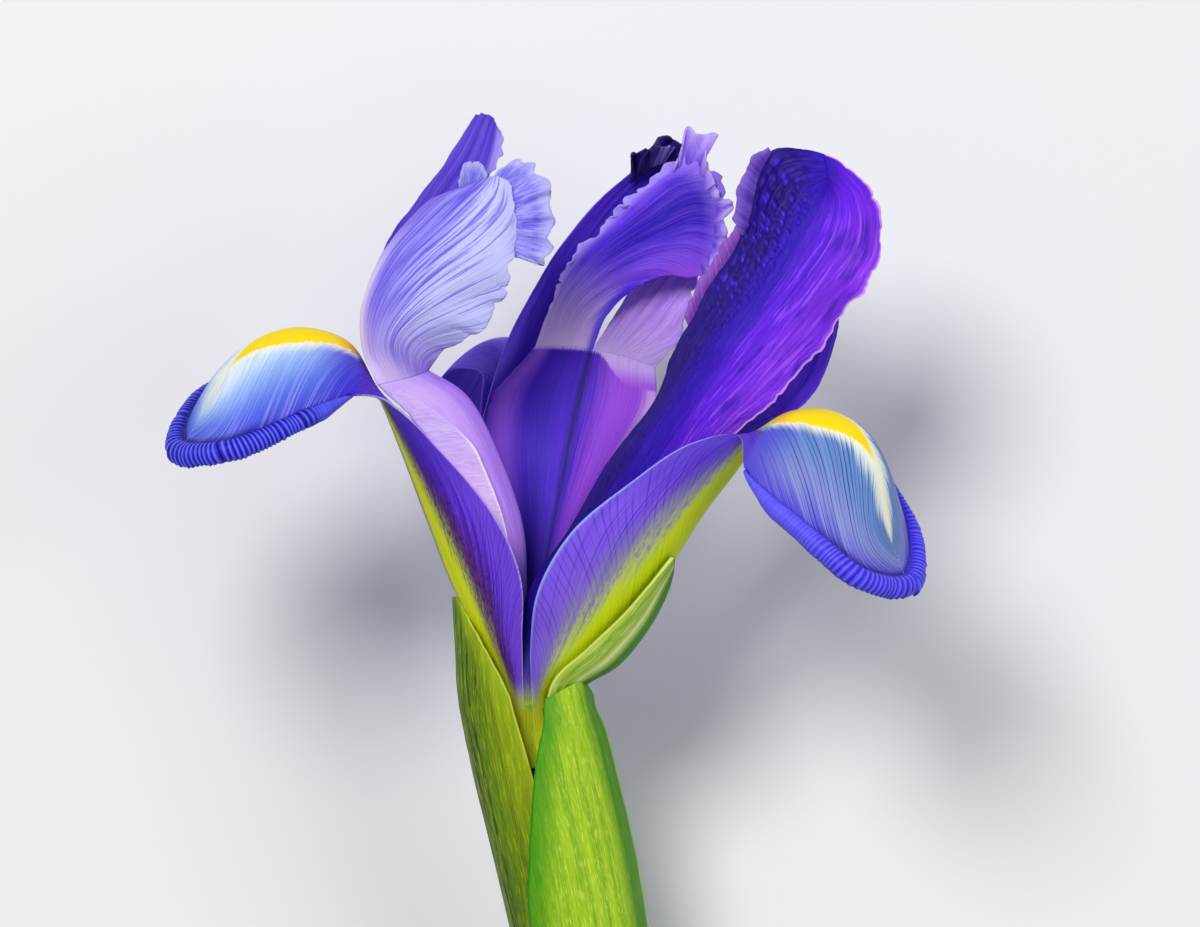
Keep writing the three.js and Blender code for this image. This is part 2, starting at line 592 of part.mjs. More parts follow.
const innerValveStations = [
  [[9.8, -54, 4.6], [14.8, -54, 0], [9.8, -54, -4.6]],
  [[7.2, -42, 4.8], [12.8, -42, 0], [7.2, -42, -4.8]],
  [[4.6, -29, 4.9], [11.0, -29, 0], [4.6, -29, -4.9]],
  [[2.4, -16, 4.6], [8.8, -16, 0.2], [2.4, -16, -4.4]],
  [[2.2, -6, 4.2], [7.2, -6.4, 0.6], [2.0, -5, -4.4]],
  [[4.0, 2.4, 4.5], [6.6, 1.8, 1.0], [3.2, 4.0, -4.2]],
  [[9.6, 7.6, 6.8], [13.4, 6.4, 3.0], [8.6, 8.8, -4.6]],
  [[14.4, 12.4, 9.0], [17.4, 11.0, 4.8], [14.0, 12.6, -3.0]],
  [[17.4, 15.6, 9.6], [18.9, 14.0, 6.6], [17.6, 14.8, 1.6]],
  [[19.6, 18.2, 8.8], [19.4, 16.4, 7.8], [19.6, 18.2, 8.8]],
];

function innerValve() {
  const surface = tippedSurface(innerValveStations);
  const grid = petalGrid({ surface, rows: (innerValveStations.length - 1) * 2, columns: 8 });
  return piece('spathe_inner_valve', solidSheet([grid], PETAL_THICKNESS), GREEN.pale, 0.5);
}

// Laying the flower down: the line from the stem's lower cut edge to the rest point on the back fall
// becomes level. The part of the back fall's blade that would reach below the surface is pressed flat on it.

const stemEdge = { y: STEM_END, z: -STEM_CUT_RADIUS };
const restSlope = (stemEdge.z - REST_POINT_ON_BACK_FALL.z) / (REST_POINT_ON_BACK_FALL.y - stemEdge.y);
const tip = Math.atan(restSlope);
const tipped = new THREE.Matrix4().makeRotationX(tip);
const surfaceLevel = stemEdge.y * Math.sin(tip) + stemEdge.z * Math.cos(tip);

function pressedOnSurface(grid) {
  const upright = tipped.clone().invert();
  const lowest = surfaceLevel + PETAL_THICKNESS / 2;
  grid.applyMatrix4(tipped);
  const position = grid.attributes.position;
  for (let index = 0; index < position.count; index += 1) {
    position.setZ(index, Math.max(position.getZ(index), lowest));
  }
  return grid.applyMatrix4(upright);
}

const flower = new THREE.Group();
flower.add(
  stemWithOvary(),
  bract('spathe_left_bract', leftBractRows, GREEN.olive),
  bract('spathe_right_bract', rightBractRows, GREEN.bright),
  innerValve(),
  fall('fall_left', leftFallStations, 6, 1),
  fall('fall_right', rightFallStations, 7, -1),
  fall('fall_back', backFallStations, 7, 1, pressedOnSurface),
  standard('standard_front', frontStandardStations, 12, PURPLE.deep),
  standard('standard_back_left', backLeftStandardStations, 8, PURPLE.deep),
  standard('standard_back_right', backRightStandardStations, 8, PURPLE.deep),
  styleArm('style_arm_left', leftArm, PURPLE.lilac),
  styleArm('style_arm_back', backArm, PURPLE.violet),
  styleArm('style_arm_right', rightArm, PURPLE.violet),
  ...Object.entries(stamenPaths).map(([name, path]) => stamen(name, path)),
);
flower.rotation.x = tip;

// The frame's origin is under the middle of the laid flower, on the surface.
const part = new THREE.Group();
part.add(flower);
part.updateMatrixWorld(true);
const extent = new THREE.Box3().setFromObject(part, true);
const middle = extent.getCenter(new THREE.Vector3());
flower.position.set(-middle.x, -middle.y, -surfaceLevel);
part.updateMatrixWorld(true);

export default part;
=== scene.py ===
import math

import bmesh
import bpy
import numpy as np
from mathutils import Matrix, Vector


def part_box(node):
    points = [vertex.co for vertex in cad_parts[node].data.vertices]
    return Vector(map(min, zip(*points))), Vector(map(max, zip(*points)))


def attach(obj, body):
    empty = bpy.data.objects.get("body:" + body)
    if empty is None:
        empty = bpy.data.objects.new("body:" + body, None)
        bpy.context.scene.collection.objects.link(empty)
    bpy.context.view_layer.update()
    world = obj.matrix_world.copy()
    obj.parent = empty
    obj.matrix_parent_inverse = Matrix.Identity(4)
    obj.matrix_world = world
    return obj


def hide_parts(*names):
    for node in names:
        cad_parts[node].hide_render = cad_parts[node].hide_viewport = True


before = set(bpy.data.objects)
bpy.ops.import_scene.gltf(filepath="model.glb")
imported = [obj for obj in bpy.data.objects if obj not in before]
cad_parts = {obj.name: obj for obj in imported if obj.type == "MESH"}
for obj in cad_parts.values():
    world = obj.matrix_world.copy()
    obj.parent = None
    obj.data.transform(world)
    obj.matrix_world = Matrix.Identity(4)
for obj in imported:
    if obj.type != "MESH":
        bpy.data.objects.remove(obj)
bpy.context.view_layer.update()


# Stem with its ovary and perianth tube: one grown piece of watery green tissue.
# It leans to the right on its way down, is cut square at its lower end, and carries every petal
# on the tube's rim. The short style column stands on the tube.

# Sizes are in millimetres on the upright flower, from the middle of the tube's rim: to the right, up
# into the bloom and towards the camera.
STEM_CUT_RADIUS = 4.5
STEM_RADIUS = 4.6
STEM_END = -105
SHEATH_NODE = -58
STEM_SIDES = 96
STEM_STEP = 0.9
LEAN_STEPS = 400
# The stem is faintly ribbed wherever it is thicker than this radius. A rib's height is a share of it.
RIBBED_ABOVE = 3
RIBS = 7
RIB_HEIGHT = 0.012
# The middle of the flat spot where the back fall's blade carries the lying flower.
REST_POINT = {"y": 26, "z": -35.92}
STEM_LEAN = [
    [0, 6, 0], [0, 0, 0], [1.6, -8, 0], [5.8, -29, 0],
    [8.6, -45, 0], [11.2, -63, 0], [13.4, -84, 0], [14.8, -106, 0],
]
STEM_PROFILE = [
    [0, STEM_END], [3.9, STEM_END], [4.3, STEM_END + 0.15], [STEM_CUT_RADIUS, STEM_END + 0.6],
    [STEM_RADIUS, STEM_END + 8], [STEM_RADIUS, -82], [STEM_RADIUS, -68],
    [STEM_RADIUS + 0.2, SHEATH_NODE - 1], [STEM_RADIUS - 0.2, SHEATH_NODE + 1], [2.7, SHEATH_NODE + 3],
    [2.7, -48], [3.1, -42], [3.1, -30], [2.2, -22], [2.2, -8], [2.6, -0.5], [0.6, -0.5],
    [0.6, 0.8], [1.0, 4.1], [1.0, 4.4], [0, 4.4],
]


def smooth_curve(stations, places):
    """Points at the places, 0 to 1, of a centripetal curve through the stations."""
    stations = np.asarray(stations, float)
    before_first = 2 * stations[0] - stations[1]
    after_last = 2 * stations[-1] - stations[-2]
    knots = np.vstack([before_first, stations, after_last])
    reach = np.clip(places, 0, 1) * (len(stations) - 1)
    start = np.minimum(reach.astype(int), len(stations) - 2)
    share = (reach - start)[:, None]
    before, here, there, after = (knots[start + step] for step in range(4))
    gaps = [np.linalg.norm(b - a, axis=1)[:, None] ** 0.5
            for a, b in ((before, here), (here, there), (there, after))]
    middle = np.where(gaps[1] < 1e-4, 1, gaps[1])
    first = np.where(gaps[0] < 1e-4, middle, gaps[0])
    last = np.where(gaps[2] < 1e-4, middle, gaps[2])
    step = there - here
    leaving = ((here - before) / first - (there - before) / (first + middle)) * middle + step
    arriving = ((after - there) / last - (after - here) / (middle + last)) * middle + step
    bend = 3 * step - 2 * leaving - arriving
    twist = leaving + arriving - 2 * step
    return here + leaving * share + bend * share ** 2 + twist * share ** 3


lean_points = smooth_curve(STEM_LEAN, np.linspace(0, 1, LEAN_STEPS))


def lean_at(heights):
    """How far the stem's middle line has moved to the right at the heights."""
    return np.interp(heights, lean_points[::-1, 1], lean_points[::-1, 0])


tip_angle = math.atan((REST_POINT["z"] + STEM_CUT_RADIUS) / (STEM_END - REST_POINT["y"]))
stem_low, stem_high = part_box("stem_with_ovary")
laid_turn = Matrix.Rotation(tip_angle, 3, "X")
cut_corner = laid_turn @ Vector((lean_at(STEM_END) + STEM_CUT_RADIUS, STEM_END, STEM_CUT_RADIUS))
cut_bottom = laid_turn @ Vector((0, STEM_END, -STEM_CUT_RADIUS))
laid_place = Vector((
    stem_high.x * 1000 - cut_corner.x,
    stem_low.y * 1000 - cut_corner.y,
    stem_low.z * 1000 - cut_bottom.z,
))


def lay_down(points):
    """Takes points of the upright flower, in millimetres, to where the picked flower lies, in metres."""
    return (points @ np.array(laid_turn).T + np.array(laid_place)) / 1000


# Two points nearer than this, in metres, are one point of the mesh.
SAME_POINT = 4e-6


def grown_piece(name, grids, thickness=0, floor_gap=None):
    """A mesh from grids of points, merged where they meet, with a wall of that thickness in millimetres.

    Each grid holds its points and its marks, which are numbers a material reads at every point. Floor gap
    is how far the points stay above the floor, where the piece is pressed flat on it."""
    shape = bmesh.new()
    for points, marks in grids:
        rows, columns = points.shape[:2]
        bmesh.ops.create_grid(shape, x_segments=columns - 1, y_segments=rows - 1, size=1)
    mesh = bpy.data.meshes.new(name)
    shape.to_mesh(mesh)
    places = lay_down(np.concatenate([points.reshape(-1, 3) for points, marks in grids]))
    if floor_gap is not None:
        places[:, 2] = np.maximum(places[:, 2], floor_gap / 1000)
    mesh.vertices.foreach_set("co", places.ravel())
    for mark in grids[0][1]:
        numbers = np.concatenate([
            np.broadcast_to(marks[mark], points.shape[:2]).ravel() for points, marks in grids])
        mesh.attributes.new(mark, "FLOAT", "POINT").data.foreach_set("value", numbers.astype(np.float32))
    shape.clear()
    shape.from_mesh(mesh)
    bmesh.ops.remove_doubles(shape, verts=shape.verts, dist=SAME_POINT)
    bmesh.ops.recalc_face_normals(shape, faces=shape.faces)
    for face in shape.faces:
        face.smooth = True
    shape.to_mesh(mesh)
    shape.free()
    piece = bpy.data.objects.new(name, mesh)
    bpy.context.scene.collection.objects.link(piece)
    if thickness:
        wall = piece.modifiers.new("wall", "SOLIDIFY")
        wall.thickness = thickness / 1000
        wall.offset = 0
    return piece


def colour(code):
    """A colour as the shader wants it, from its red, green and blue as written on a colour card."""
    parts = [int(code[at:at + 2], 16) / 255 for at in (0, 2, 4)]
    linear = [part / 12.92 if part <= 0.04045 else ((part + 0.055) / 1.055) ** 2.4 for part in parts]
    return (*linear, 1)


class Value:
    """A number that changes over a surface. Sums and products of it become the material's Math nodes."""

    def __init__(self, finish, socket):
        self.finish = finish
        self.socket = socket

    def math(self, operation, *others):
        return self.finish.node("ShaderNodeMath", {"operation": operation}, dict(enumerate((self, *others))))

    def __add__(self, other):
        return self.math("ADD", other)

    __radd__ = __add__

    def __mul__(self, other):
        return self.math("MULTIPLY", other)

    __rmul__ = __mul__

    def __sub__(self, other):
        return self.math("SUBTRACT", other)

    def __rsub__(self, other):
        return self * -1 + other

    def __truediv__(self, other):
        return self.math("DIVIDE", other)

    def __abs__(self):
        return self.math("ABSOLUTE")

    def ramp(self, start, end):
        """0 before start, 1 after end and smooth between, or the other way round where start is larger."""
        low, high = min(start, end), max(start, end)
        levels = {"To Min": 0, "To Max": 1} if start < end else {"To Min": 1, "To Max": 0}
        return self.finish.node(
            "ShaderNodeMapRange", {"interpolation_type": "SMOOTHSTEP"},
            {"Value": self, "From Min": low, "From Max": high, **levels})


class Finish:
    """A material in the making. Constants go to the shader's own sockets by name."""

    def __init__(self, name, constants):
        self.material = bpy.data.materials.new(name)
        self.material.use_nodes = True
        self.tree = self.material.node_tree
        self.shader = self.tree.nodes["Principled BSDF"]
        for socket, value in constants.items():
            self.shader.inputs[socket].default_value = value

    def node(self, kind, settings, inputs, output=0):
        """Adds a node with its settings, then the values or links of its sockets, and gives an output."""
        node = self.tree.nodes.new(kind)
        for setting, value in settings.items():
            setattr(node, setting, value)
        for socket, value in inputs.items():
            if isinstance(value, Value):
                self.tree.links.new(value.socket, node.inputs[socket])
            else:
                node.inputs[socket].default_value = value
        return Value(self, node.outputs[output])

    def mark(self, name):
        """A number that the mesh carries at every point."""
        return self.node("ShaderNodeAttribute", {"attribute_name": name}, {}, "Fac")

    def marks(self, *names):
        return [self.mark(name) for name in names]

    def point(self, x=0, y=0, z=0):
        return self.node("ShaderNodeCombineXYZ", {}, {"X": x, "Y": y, "Z": z})

    def noise(self, place, detail=2, roughness=0.5):
        return self.node("ShaderNodeTexNoise", {}, {
            "Vector": place, "Scale": 1, "Detail": detail, "Roughness": roughness})

    def mix(self, first, second, share):
        """The first colour turning to the second as share goes from 0 to 1. A colour may be its code."""
        first, second = (colour(tint) if isinstance(tint, str) else tint for tint in (first, second))
        # The node has inputs A and B for every type: 6 and 7 are those for colours, and 2 gives a colour.
        return self.node("ShaderNodeMix", {"data_type": "RGBA"}, {"Factor": share, 6: first, 7: second}, 2)

    def coats(self, ground, *coats):
        """The ground with coats of colour laid over it in turn, each with the share that it covers."""
        for tint, share in coats:
            ground = self.mix(ground, tint, share)
        return ground

    def use(self, piece, base, bump, depth):
        """Links the colour, and the relief with its depth in metres, and gives the piece the material."""
        self.tree.links.new(base.socket, self.shader.inputs["Base Color"])
        relief = self.node("ShaderNodeBump", {}, {"Height": bump, "Distance": depth, "Strength": 1})
        self.tree.links.new(relief.socket, self.shader.inputs["Normal"])
        piece.data.materials.append(self.material)


def stepped(outline, pitch):
    """The outline's points with more between them, so that no step is longer than pitch."""
    points = [outline[0]]
    for start, end in zip(outline, outline[1:]):
        count = max(1, math.ceil(math.dist(start, end) / pitch))
        points += [np.add(start, np.subtract(end, start) * step / count) for step in range(1, count + 1)]
    return np.array(points, float)


profile = stepped(STEM_PROFILE, STEM_STEP)
stem_turns = np.linspace(0, 2 * math.pi, STEM_SIDES + 1)
stem_radius = profile[:, :1] * np.ones_like(stem_turns)
stem_ribbing = 1 + RIB_HEIGHT * np.cos(RIBS * stem_turns) * (profile[:, :1] > RIBBED_ABOVE)
stem_points = np.stack([
    stem_radius * stem_ribbing * np.sin(stem_turns) + lean_at(profile[:, 1])[:, None],
    np.broadcast_to(profile[:, 1:], stem_radius.shape),
    stem_radius * stem_ribbing * np.cos(stem_turns),
], axis=2)
stem = grown_piece("stem", [(stem_points, {
    "height": profile[:, 1:],
    "radius": stem_radius,
    "turn": np.sin(stem_turns * 0.5)[None, :],
})])
stem_green = Finish("stem green", {
    "Roughness": 0.42, "Subsurface Weight": 0.3, "Subsurface Scale": 0.002, "Subsurface Radius": (0.4, 1, 0.2)})
height, radius, turn = stem_green.marks("height", "radius", "turn")
stem_streaks = stem_green.noise(stem_green.point(turn * 60, height * 0.12), 3, 0.6)
pith = stem_green.noise(stem_green.point(turn * 30, radius * 4), 4, 0.7)
# Pale wet pith on the cut end, inside a ring of green rind.
cut_colour = stem_green.coats(
    "D7DDA0",
    ("9DB456", pith.ramp(0.4, 0.62)),
    ("5A8A1C", radius.ramp(3.2, 4.2)),
)
# Green streaked paler, yellower on the tube.
stem_colour = stem_green.coats(
    "4A8A12",
    ("86B62A", stem_streaks.ramp(0.35, 0.7)),
    ("92BC1A", height.ramp(-14, -2) * 0.75),
    (cut_colour, height.ramp(STEM_END + 0.3, STEM_END + 0.05)),
)
stem_green.use(stem, stem_colour, bump=stem_streaks, depth=0.00015)
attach(stem, "root")
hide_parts("stem_with_ovary")


# Stamens: three slim filaments that rise from the feet of the falls' hafts and carry long anthers.
# The anthers are powdery and cream, and lie hidden between each haft and its style arm.

STAMEN_PATHS = {
    "left": [[-2.3, 3.4, 1.0], [-4.9, 13, 2.4], [-7.4, 21, 3.6], [-9.8, 26.6, 4.8], [-11.4, 30, 5.6]],
    "right": [[2.8, 3.4, 0.9], [7.6, 13.4, 1.6], [12.6, 20, 1.6], [18.4, 26.4, 1.8], [22.4, 29.6, 2.0]],
    "back": [[0.1, 3.4, -2.6], [0.8, 13, -6.6], [1.2, 21, -10.4], [1.0, 28, -13.2], [0.6, 32.4, -15.2]],
}
# The radius at places along a stamen, from its foot, 0, to the anther's tip, 1.
STAMEN_RADII = [[0, 0], [0.004, 0.45], [0.5, 0.4], [0.58, 0.78], [0.94, 0.75], [0.985, 0.4], [1, 0]]
STAMEN_ROWS = 121
STAMEN_SIDES = 24
ANTHER_START = 0.56
GROOVE_DEPTH = 0.22
GROOVE_WIDTH = 0.3
STAMEN_FACING = [0.3, 0, 1]


def unit(vectors):
    return vectors / np.maximum(np.linalg.norm(vectors, axis=-1, keepdims=True), 1e-9)


anther_cream = Finish("anther cream", {
    "Roughness": 0.85, "Subsurface Weight": 0.2, "Subsurface Scale": 0.001, "Sheen Weight": 0.4})
powder = anther_cream.noise(anther_cream.node("ShaderNodeVectorMath", {"operation": "SCALE"}, {
    "Vector": anther_cream.node("ShaderNodeTexCoord", {}, {}, "Object"), "Scale": 4000}), 2, 0.6)
# Cream anthers with darker grains, on pale lilac filaments.
anther_colour = anther_cream.coats(
    "E9DDB4",
    ("CDB987", powder.ramp(0.45, 0.7)),
    ("B9AEE6", anther_cream.mark("along").ramp(ANTHER_START, 0.5)),
)
for name, path in STAMEN_PATHS.items():
    along = np.linspace(0, 1, STAMEN_ROWS)
    middle_line = smooth_curve(path, along)
    heading = unit(np.gradient(middle_line, axis=0))
    side = unit(np.cross(heading, STAMEN_FACING))
    front = np.cross(side, heading)
    thick = np.interp(along, *np.transpose(STAMEN_RADII))
    turns = np.linspace(0, 2 * math.pi, STAMEN_SIDES + 1)
    groove = np.exp(-(np.sin(turns) / GROOVE_WIDTH) ** 2) * (along[:, None] > ANTHER_START)
    ring = thick[:, None] * (1 - GROOVE_DEPTH * groove)
    stamen_points = (middle_line[:, None]
                     + side[:, None] * (ring * np.cos(turns))[..., None]
                     + front[:, None] * (ring * np.sin(turns))[..., None])
    stamen = grown_piece(f"stamen_{name}_finished", [(stamen_points, {"along": along[:, None]})])
    anther_cream.use(stamen, anther_colour, bump=powder, depth=0.00008)
    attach(stamen, "root")
    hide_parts(f"stamen_{name}")


# Style arms: three petal-like branches of the style, each roofing the haft of its fall.
# Each ends in a pair of upright crests, thin pleated lobes with a frilled and torn edge.

STYLE_WALL = 0.26


class Petal:
    """A petal's middle surface through stations of margin, midrib and margin. Its sections are parabolas.

    Where the petal has a tip, both margins are one curve that runs round it."""

    def __init__(self, stations, tipped):
        self.first, self.middle, self.last = np.asarray(stations, float).transpose(1, 0, 2)
        self.round_tip = np.vstack([self.first, self.last[-2::-1]]) if tipped else None

    def margin(self, along, side):
        if self.round_tip is not None:
            return smooth_curve(self.round_tip, along / 2 if side < 0 else 1 - along / 2)
        return smooth_curve(self.first if side < 0 else self.last, along)

    def points(self, along, across):
        """Points for each place along and each row of places across, from -1 to 1."""
        first, last = self.margin(along, -1), self.margin(along, 1)
        middle = smooth_curve(self.middle, along)
        half = ((last - first) / 2)[:, None]
        lift = ((first + last) / 2 - middle)[:, None]
        across = np.broadcast_to(across, (len(along), np.shape(across)[-1]))[..., None]
        return middle[:, None] + half * across + lift * across ** 2

    def edge(self, along, side):
        """The margin, the direction out of it within the surface, and the surface's normal there."""
        first, last = self.margin(along, -1), self.margin(along, 1)
        middle = smooth_curve(self.middle, along)
        ahead = self.margin(np.minimum(along + 1e-4, 1), side)
        behind = self.margin(np.maximum(along - 1e-4, 0), side)
        heading = unit(ahead - behind) * -side
        outward = (last - first) / 2 * side + ((first + last) / 2 - middle) * 2
        outward = unit(outward - heading * (outward * heading).sum(1, keepdims=True))
        return (first if side < 0 else last), outward, unit(np.cross(heading, outward))


def travelled(points):
    """How far each point of a line lies from its start, in millimetres."""
    steps = np.linalg.norm(np.diff(points, axis=0), axis=1)
    return np.concatenate([[0], np.cumsum(steps)])


def ragged(places, spacing, seed):
    """An uneven zigzag between -1 and 1 along the places, with about one tooth to each spacing."""
    chance = np.random.default_rng(seed)
    count = int(np.ptp(places) / spacing) + 3
    knots = places.min() + (np.arange(count) + chance.uniform(-0.3, 0.3, count)) * spacing - spacing / 2
    return np.interp(places, knots, chance.uniform(-1, 1, count))


def swell(values, start, end):
    """0 before start, 1 after end, smooth between."""
    share = np.clip((values - start) / (end - start), 0, 1)
    return share * share * (3 - 2 * share)


def torn_edge(places, seed, depth):
    """How far a torn edge stands out at each place: broad bites, small teeth and a few deep notches."""
    notches = np.maximum(0, ragged(places, 1.1, seed + 50) - 0.45) * -1.6
    return depth * (ragged(places, 2.1, seed) * 0.5 + ragged(places, 0.7, seed + 7) * 0.35 + notches)


def crest(stations, rows, columns, seed, torn, wave, fan):
    """A crest's grid, pleated lengthwise. Torn is how deep its first side, last side and top are torn,
    and fan turns its veins out towards the last side."""
    petal = Petal(stations, False)
    along = np.linspace(0, 1, rows)
    spread = np.linspace(-1, 1, columns)
    across = np.sign(spread) * (1 - (1 - np.abs(spread)) ** 1.35)
    points = petal.points(along, across)
    ends = swell(along, 0.06, 0.3)[:, None]
    for side, depth, waving in ((-1, torn[0], wave[0]), (1, torn[1], wave[1])):
        margin, outward, normal = petal.edge(np.clip(along, 0.01, 0.99), side)
        gone = travelled(margin)
        here = (np.clip(across * side, 0, 1))[None, :]
        teeth = torn_edge(gone, seed + side, depth)
        bend = (np.sin(gone / 1.5 + seed) + ragged(gone, 1.6, seed + 20 + side) * 0.9)[:, None]
        points += outward[:, None] * (teeth[:, None] * here ** 9 * ends)[..., None]
        points += normal[:, None] * (waving * bend * here ** 3 * ends)[..., None]
    middle = unit(np.cross(np.gradient(points, axis=0), np.gradient(points, axis=1)))
    vein = (across[None, :] + 1.05) / (0.42 + fan * along[:, None])
    pleats = np.sin(vein * 9 + seed) * 0.09 + np.sin(vein * 23 + seed * 2 + along[:, None] * 3) * 0.04
    points += middle * (pleats * swell(along, 0.02, 0.4)[:, None])[..., None]
    gone = travelled(points[-1])
    upward = unit(points[-1] - points[-6])
    top_teeth = torn_edge(gone, seed + 30, torn[2])[None, :] * (along ** 24)[:, None]
    points += upward[None] * top_teeth[..., None]
    return points, along, across, vein


def frill(base, outline, seed, pleats, depth, jagged=1, rows=70, columns=16):
    """A folded piece of the edge that fans out from its base line to a jagged outline."""
    up = np.linspace(0, 1, rows)
    share = np.linspace(0, 1, columns)[None, :, None]
    start = smooth_curve(np.array(base, float), up)[:, None]
    reach = smooth_curve(np.array(outline, float), up)[:, None] - start
    gone = up * 12
    scallop = 0.1 - np.abs((pleats * up) % 1 - 0.5) * 0.3
    scallop = scallop + ragged(gone, 0.5, seed) * 0.07 + ragged(gone, 1.6, seed + 8) * 0.06
    points = start + reach * share * (1 + jagged * scallop[:, None, None] * share ** 2)
    fold = depth * np.sin(2 * math.pi * pleats * up + seed) + depth * 0.35 * ragged(gone, 0.8, seed + 3)
    points[..., 2] += (fold[:, None] * share[..., 0] + 0.35 * np.sin(math.pi * share[..., 0]) * depth)
    return points, up, share[0, :, 0]


def style_arm(name, stations, near, far, seed, near_edge, far_edge, frills=(), rows=(150, 200, 160)):
    """An arm with its two crests, from stations. The crests start from the halves of its last section."""
    arm = Petal(stations, False)
    along = np.linspace(0, 1, rows[0])
    across = np.linspace(-1, 1, 61)
    arm_points = arm.points(along, across)
    for side in (-1, 1):
        margin, outward, normal = arm.edge(np.clip(along, 0.01, 0.99), side)
        gone = travelled(margin)
        here = np.clip(across * side, 0, 1)[None, :]
        wave = (np.sin(gone * 0.9 + seed) * 0.2 + ragged(gone, 1.6, seed + side) * 0.16)[:, None]
        fade = (swell(along, 0.15, 0.4) * swell(-along, -1, -0.9))[:, None]
        arm_points += normal[:, None] * (wave * here ** 6 * fade)[..., None]
        teeth = torn_edge(gone, seed + side + 60, 0.25)[:, None]
        arm_points += outward[:, None] * (teeth * here ** 12 * fade)[..., None]
    grids = [(arm_points, {
        "along": along[:, None], "across": across[None, :], "vein": across[None, :] * 2, "lobe": 0.0})]
    ends = arm.points(np.array([1.0]), np.array([-1, -0.5, 0, 0.5, 1]))[0]
    for lobe, crest_stations, start, count, (torn, wave, fan) in (
            (-1, near, ends[:3], rows[1], near_edge), (1, far, ends[2:], rows[2], far_edge)):
        points, up, over, vein = crest(
            [start.tolist(), *crest_stations], count, 39, seed * 10 + lobe, torn, wave, fan)
        whole = (over[None, :] + lobe) / 2
        grids.append((points, {"along": 1 + up[:, None], "across": whole, "vein": vein, "lobe": float(lobe)}))
    for number, (base, outline, *folds) in enumerate(frills):
        points, up, share = frill(base, outline, seed + number, *folds)
        grids.append((points, {
            "along": 2 + share[None, :], "across": 0.0, "vein": up[:, None] * 3, "lobe": 3.0 + number}))
    return grown_piece(name, grids, STYLE_WALL)


class PetalTissue(Finish):
    """Thin moist petal tissue with veins that branch and run together along the marks given to it."""

    def __init__(self, name):
        super().__init__(name, {
            "Roughness": 0.45, "Specular IOR Level": 0.14, "Subsurface Weight": 0.1,
            "Subsurface Scale": 0.0008, "Subsurface Radius": (0.8, 0.35, 1.0)})

    def streaks(self, across, along, seed, stretch=1.0, detail=4):
        """Long uneven streaks, from 0 to 1: thin across the petal and drawn out along it."""
        place = self.point(across, along * stretch, seed)
        grain = self.noise(place, detail, 0.62)
        return grain.ramp(0.3, 0.7)

    def threads(self, across, along, seed):
        """Thin vein lines about one unit apart, that sway, come and go along the petal."""
        sway = self.noise(self.point(across * 0.3, along, seed), 2, 0.5)
        strength = self.noise(self.point(across * 0.7, along * 1.5, seed + 4), 2, 0.5)
        between = abs(((across + sway * 1.8) * math.pi).math("COSINE"))
        return between.ramp(0.5, 0.05) * strength.ramp(0.3, 0.62)


def style_tissue(name):
    """Petal tissue with a style arm's marks and with broad and fine streaks along its veins.

    Along runs from 0 at the arm's foot to 1 at its end, to 2 at the crests' tops and to 3 on the outline
    of a frill. Lobe is -1 on the near crest, 1 on the far one and 3, 4 and 5 on the frills."""
    tissue = PetalTissue(name)
    along, across, lobe, vein = tissue.marks("along", "across", "lobe", "vein")
    broad = tissue.streaks(vein * 3.2, along, lobe * 3.3, 1.3, 3)
    fine = tissue.streaks(vein * 21, along, lobe * 5.1 + 9, 3.0, 4)
    return tissue, along, across, lobe, broad, fine


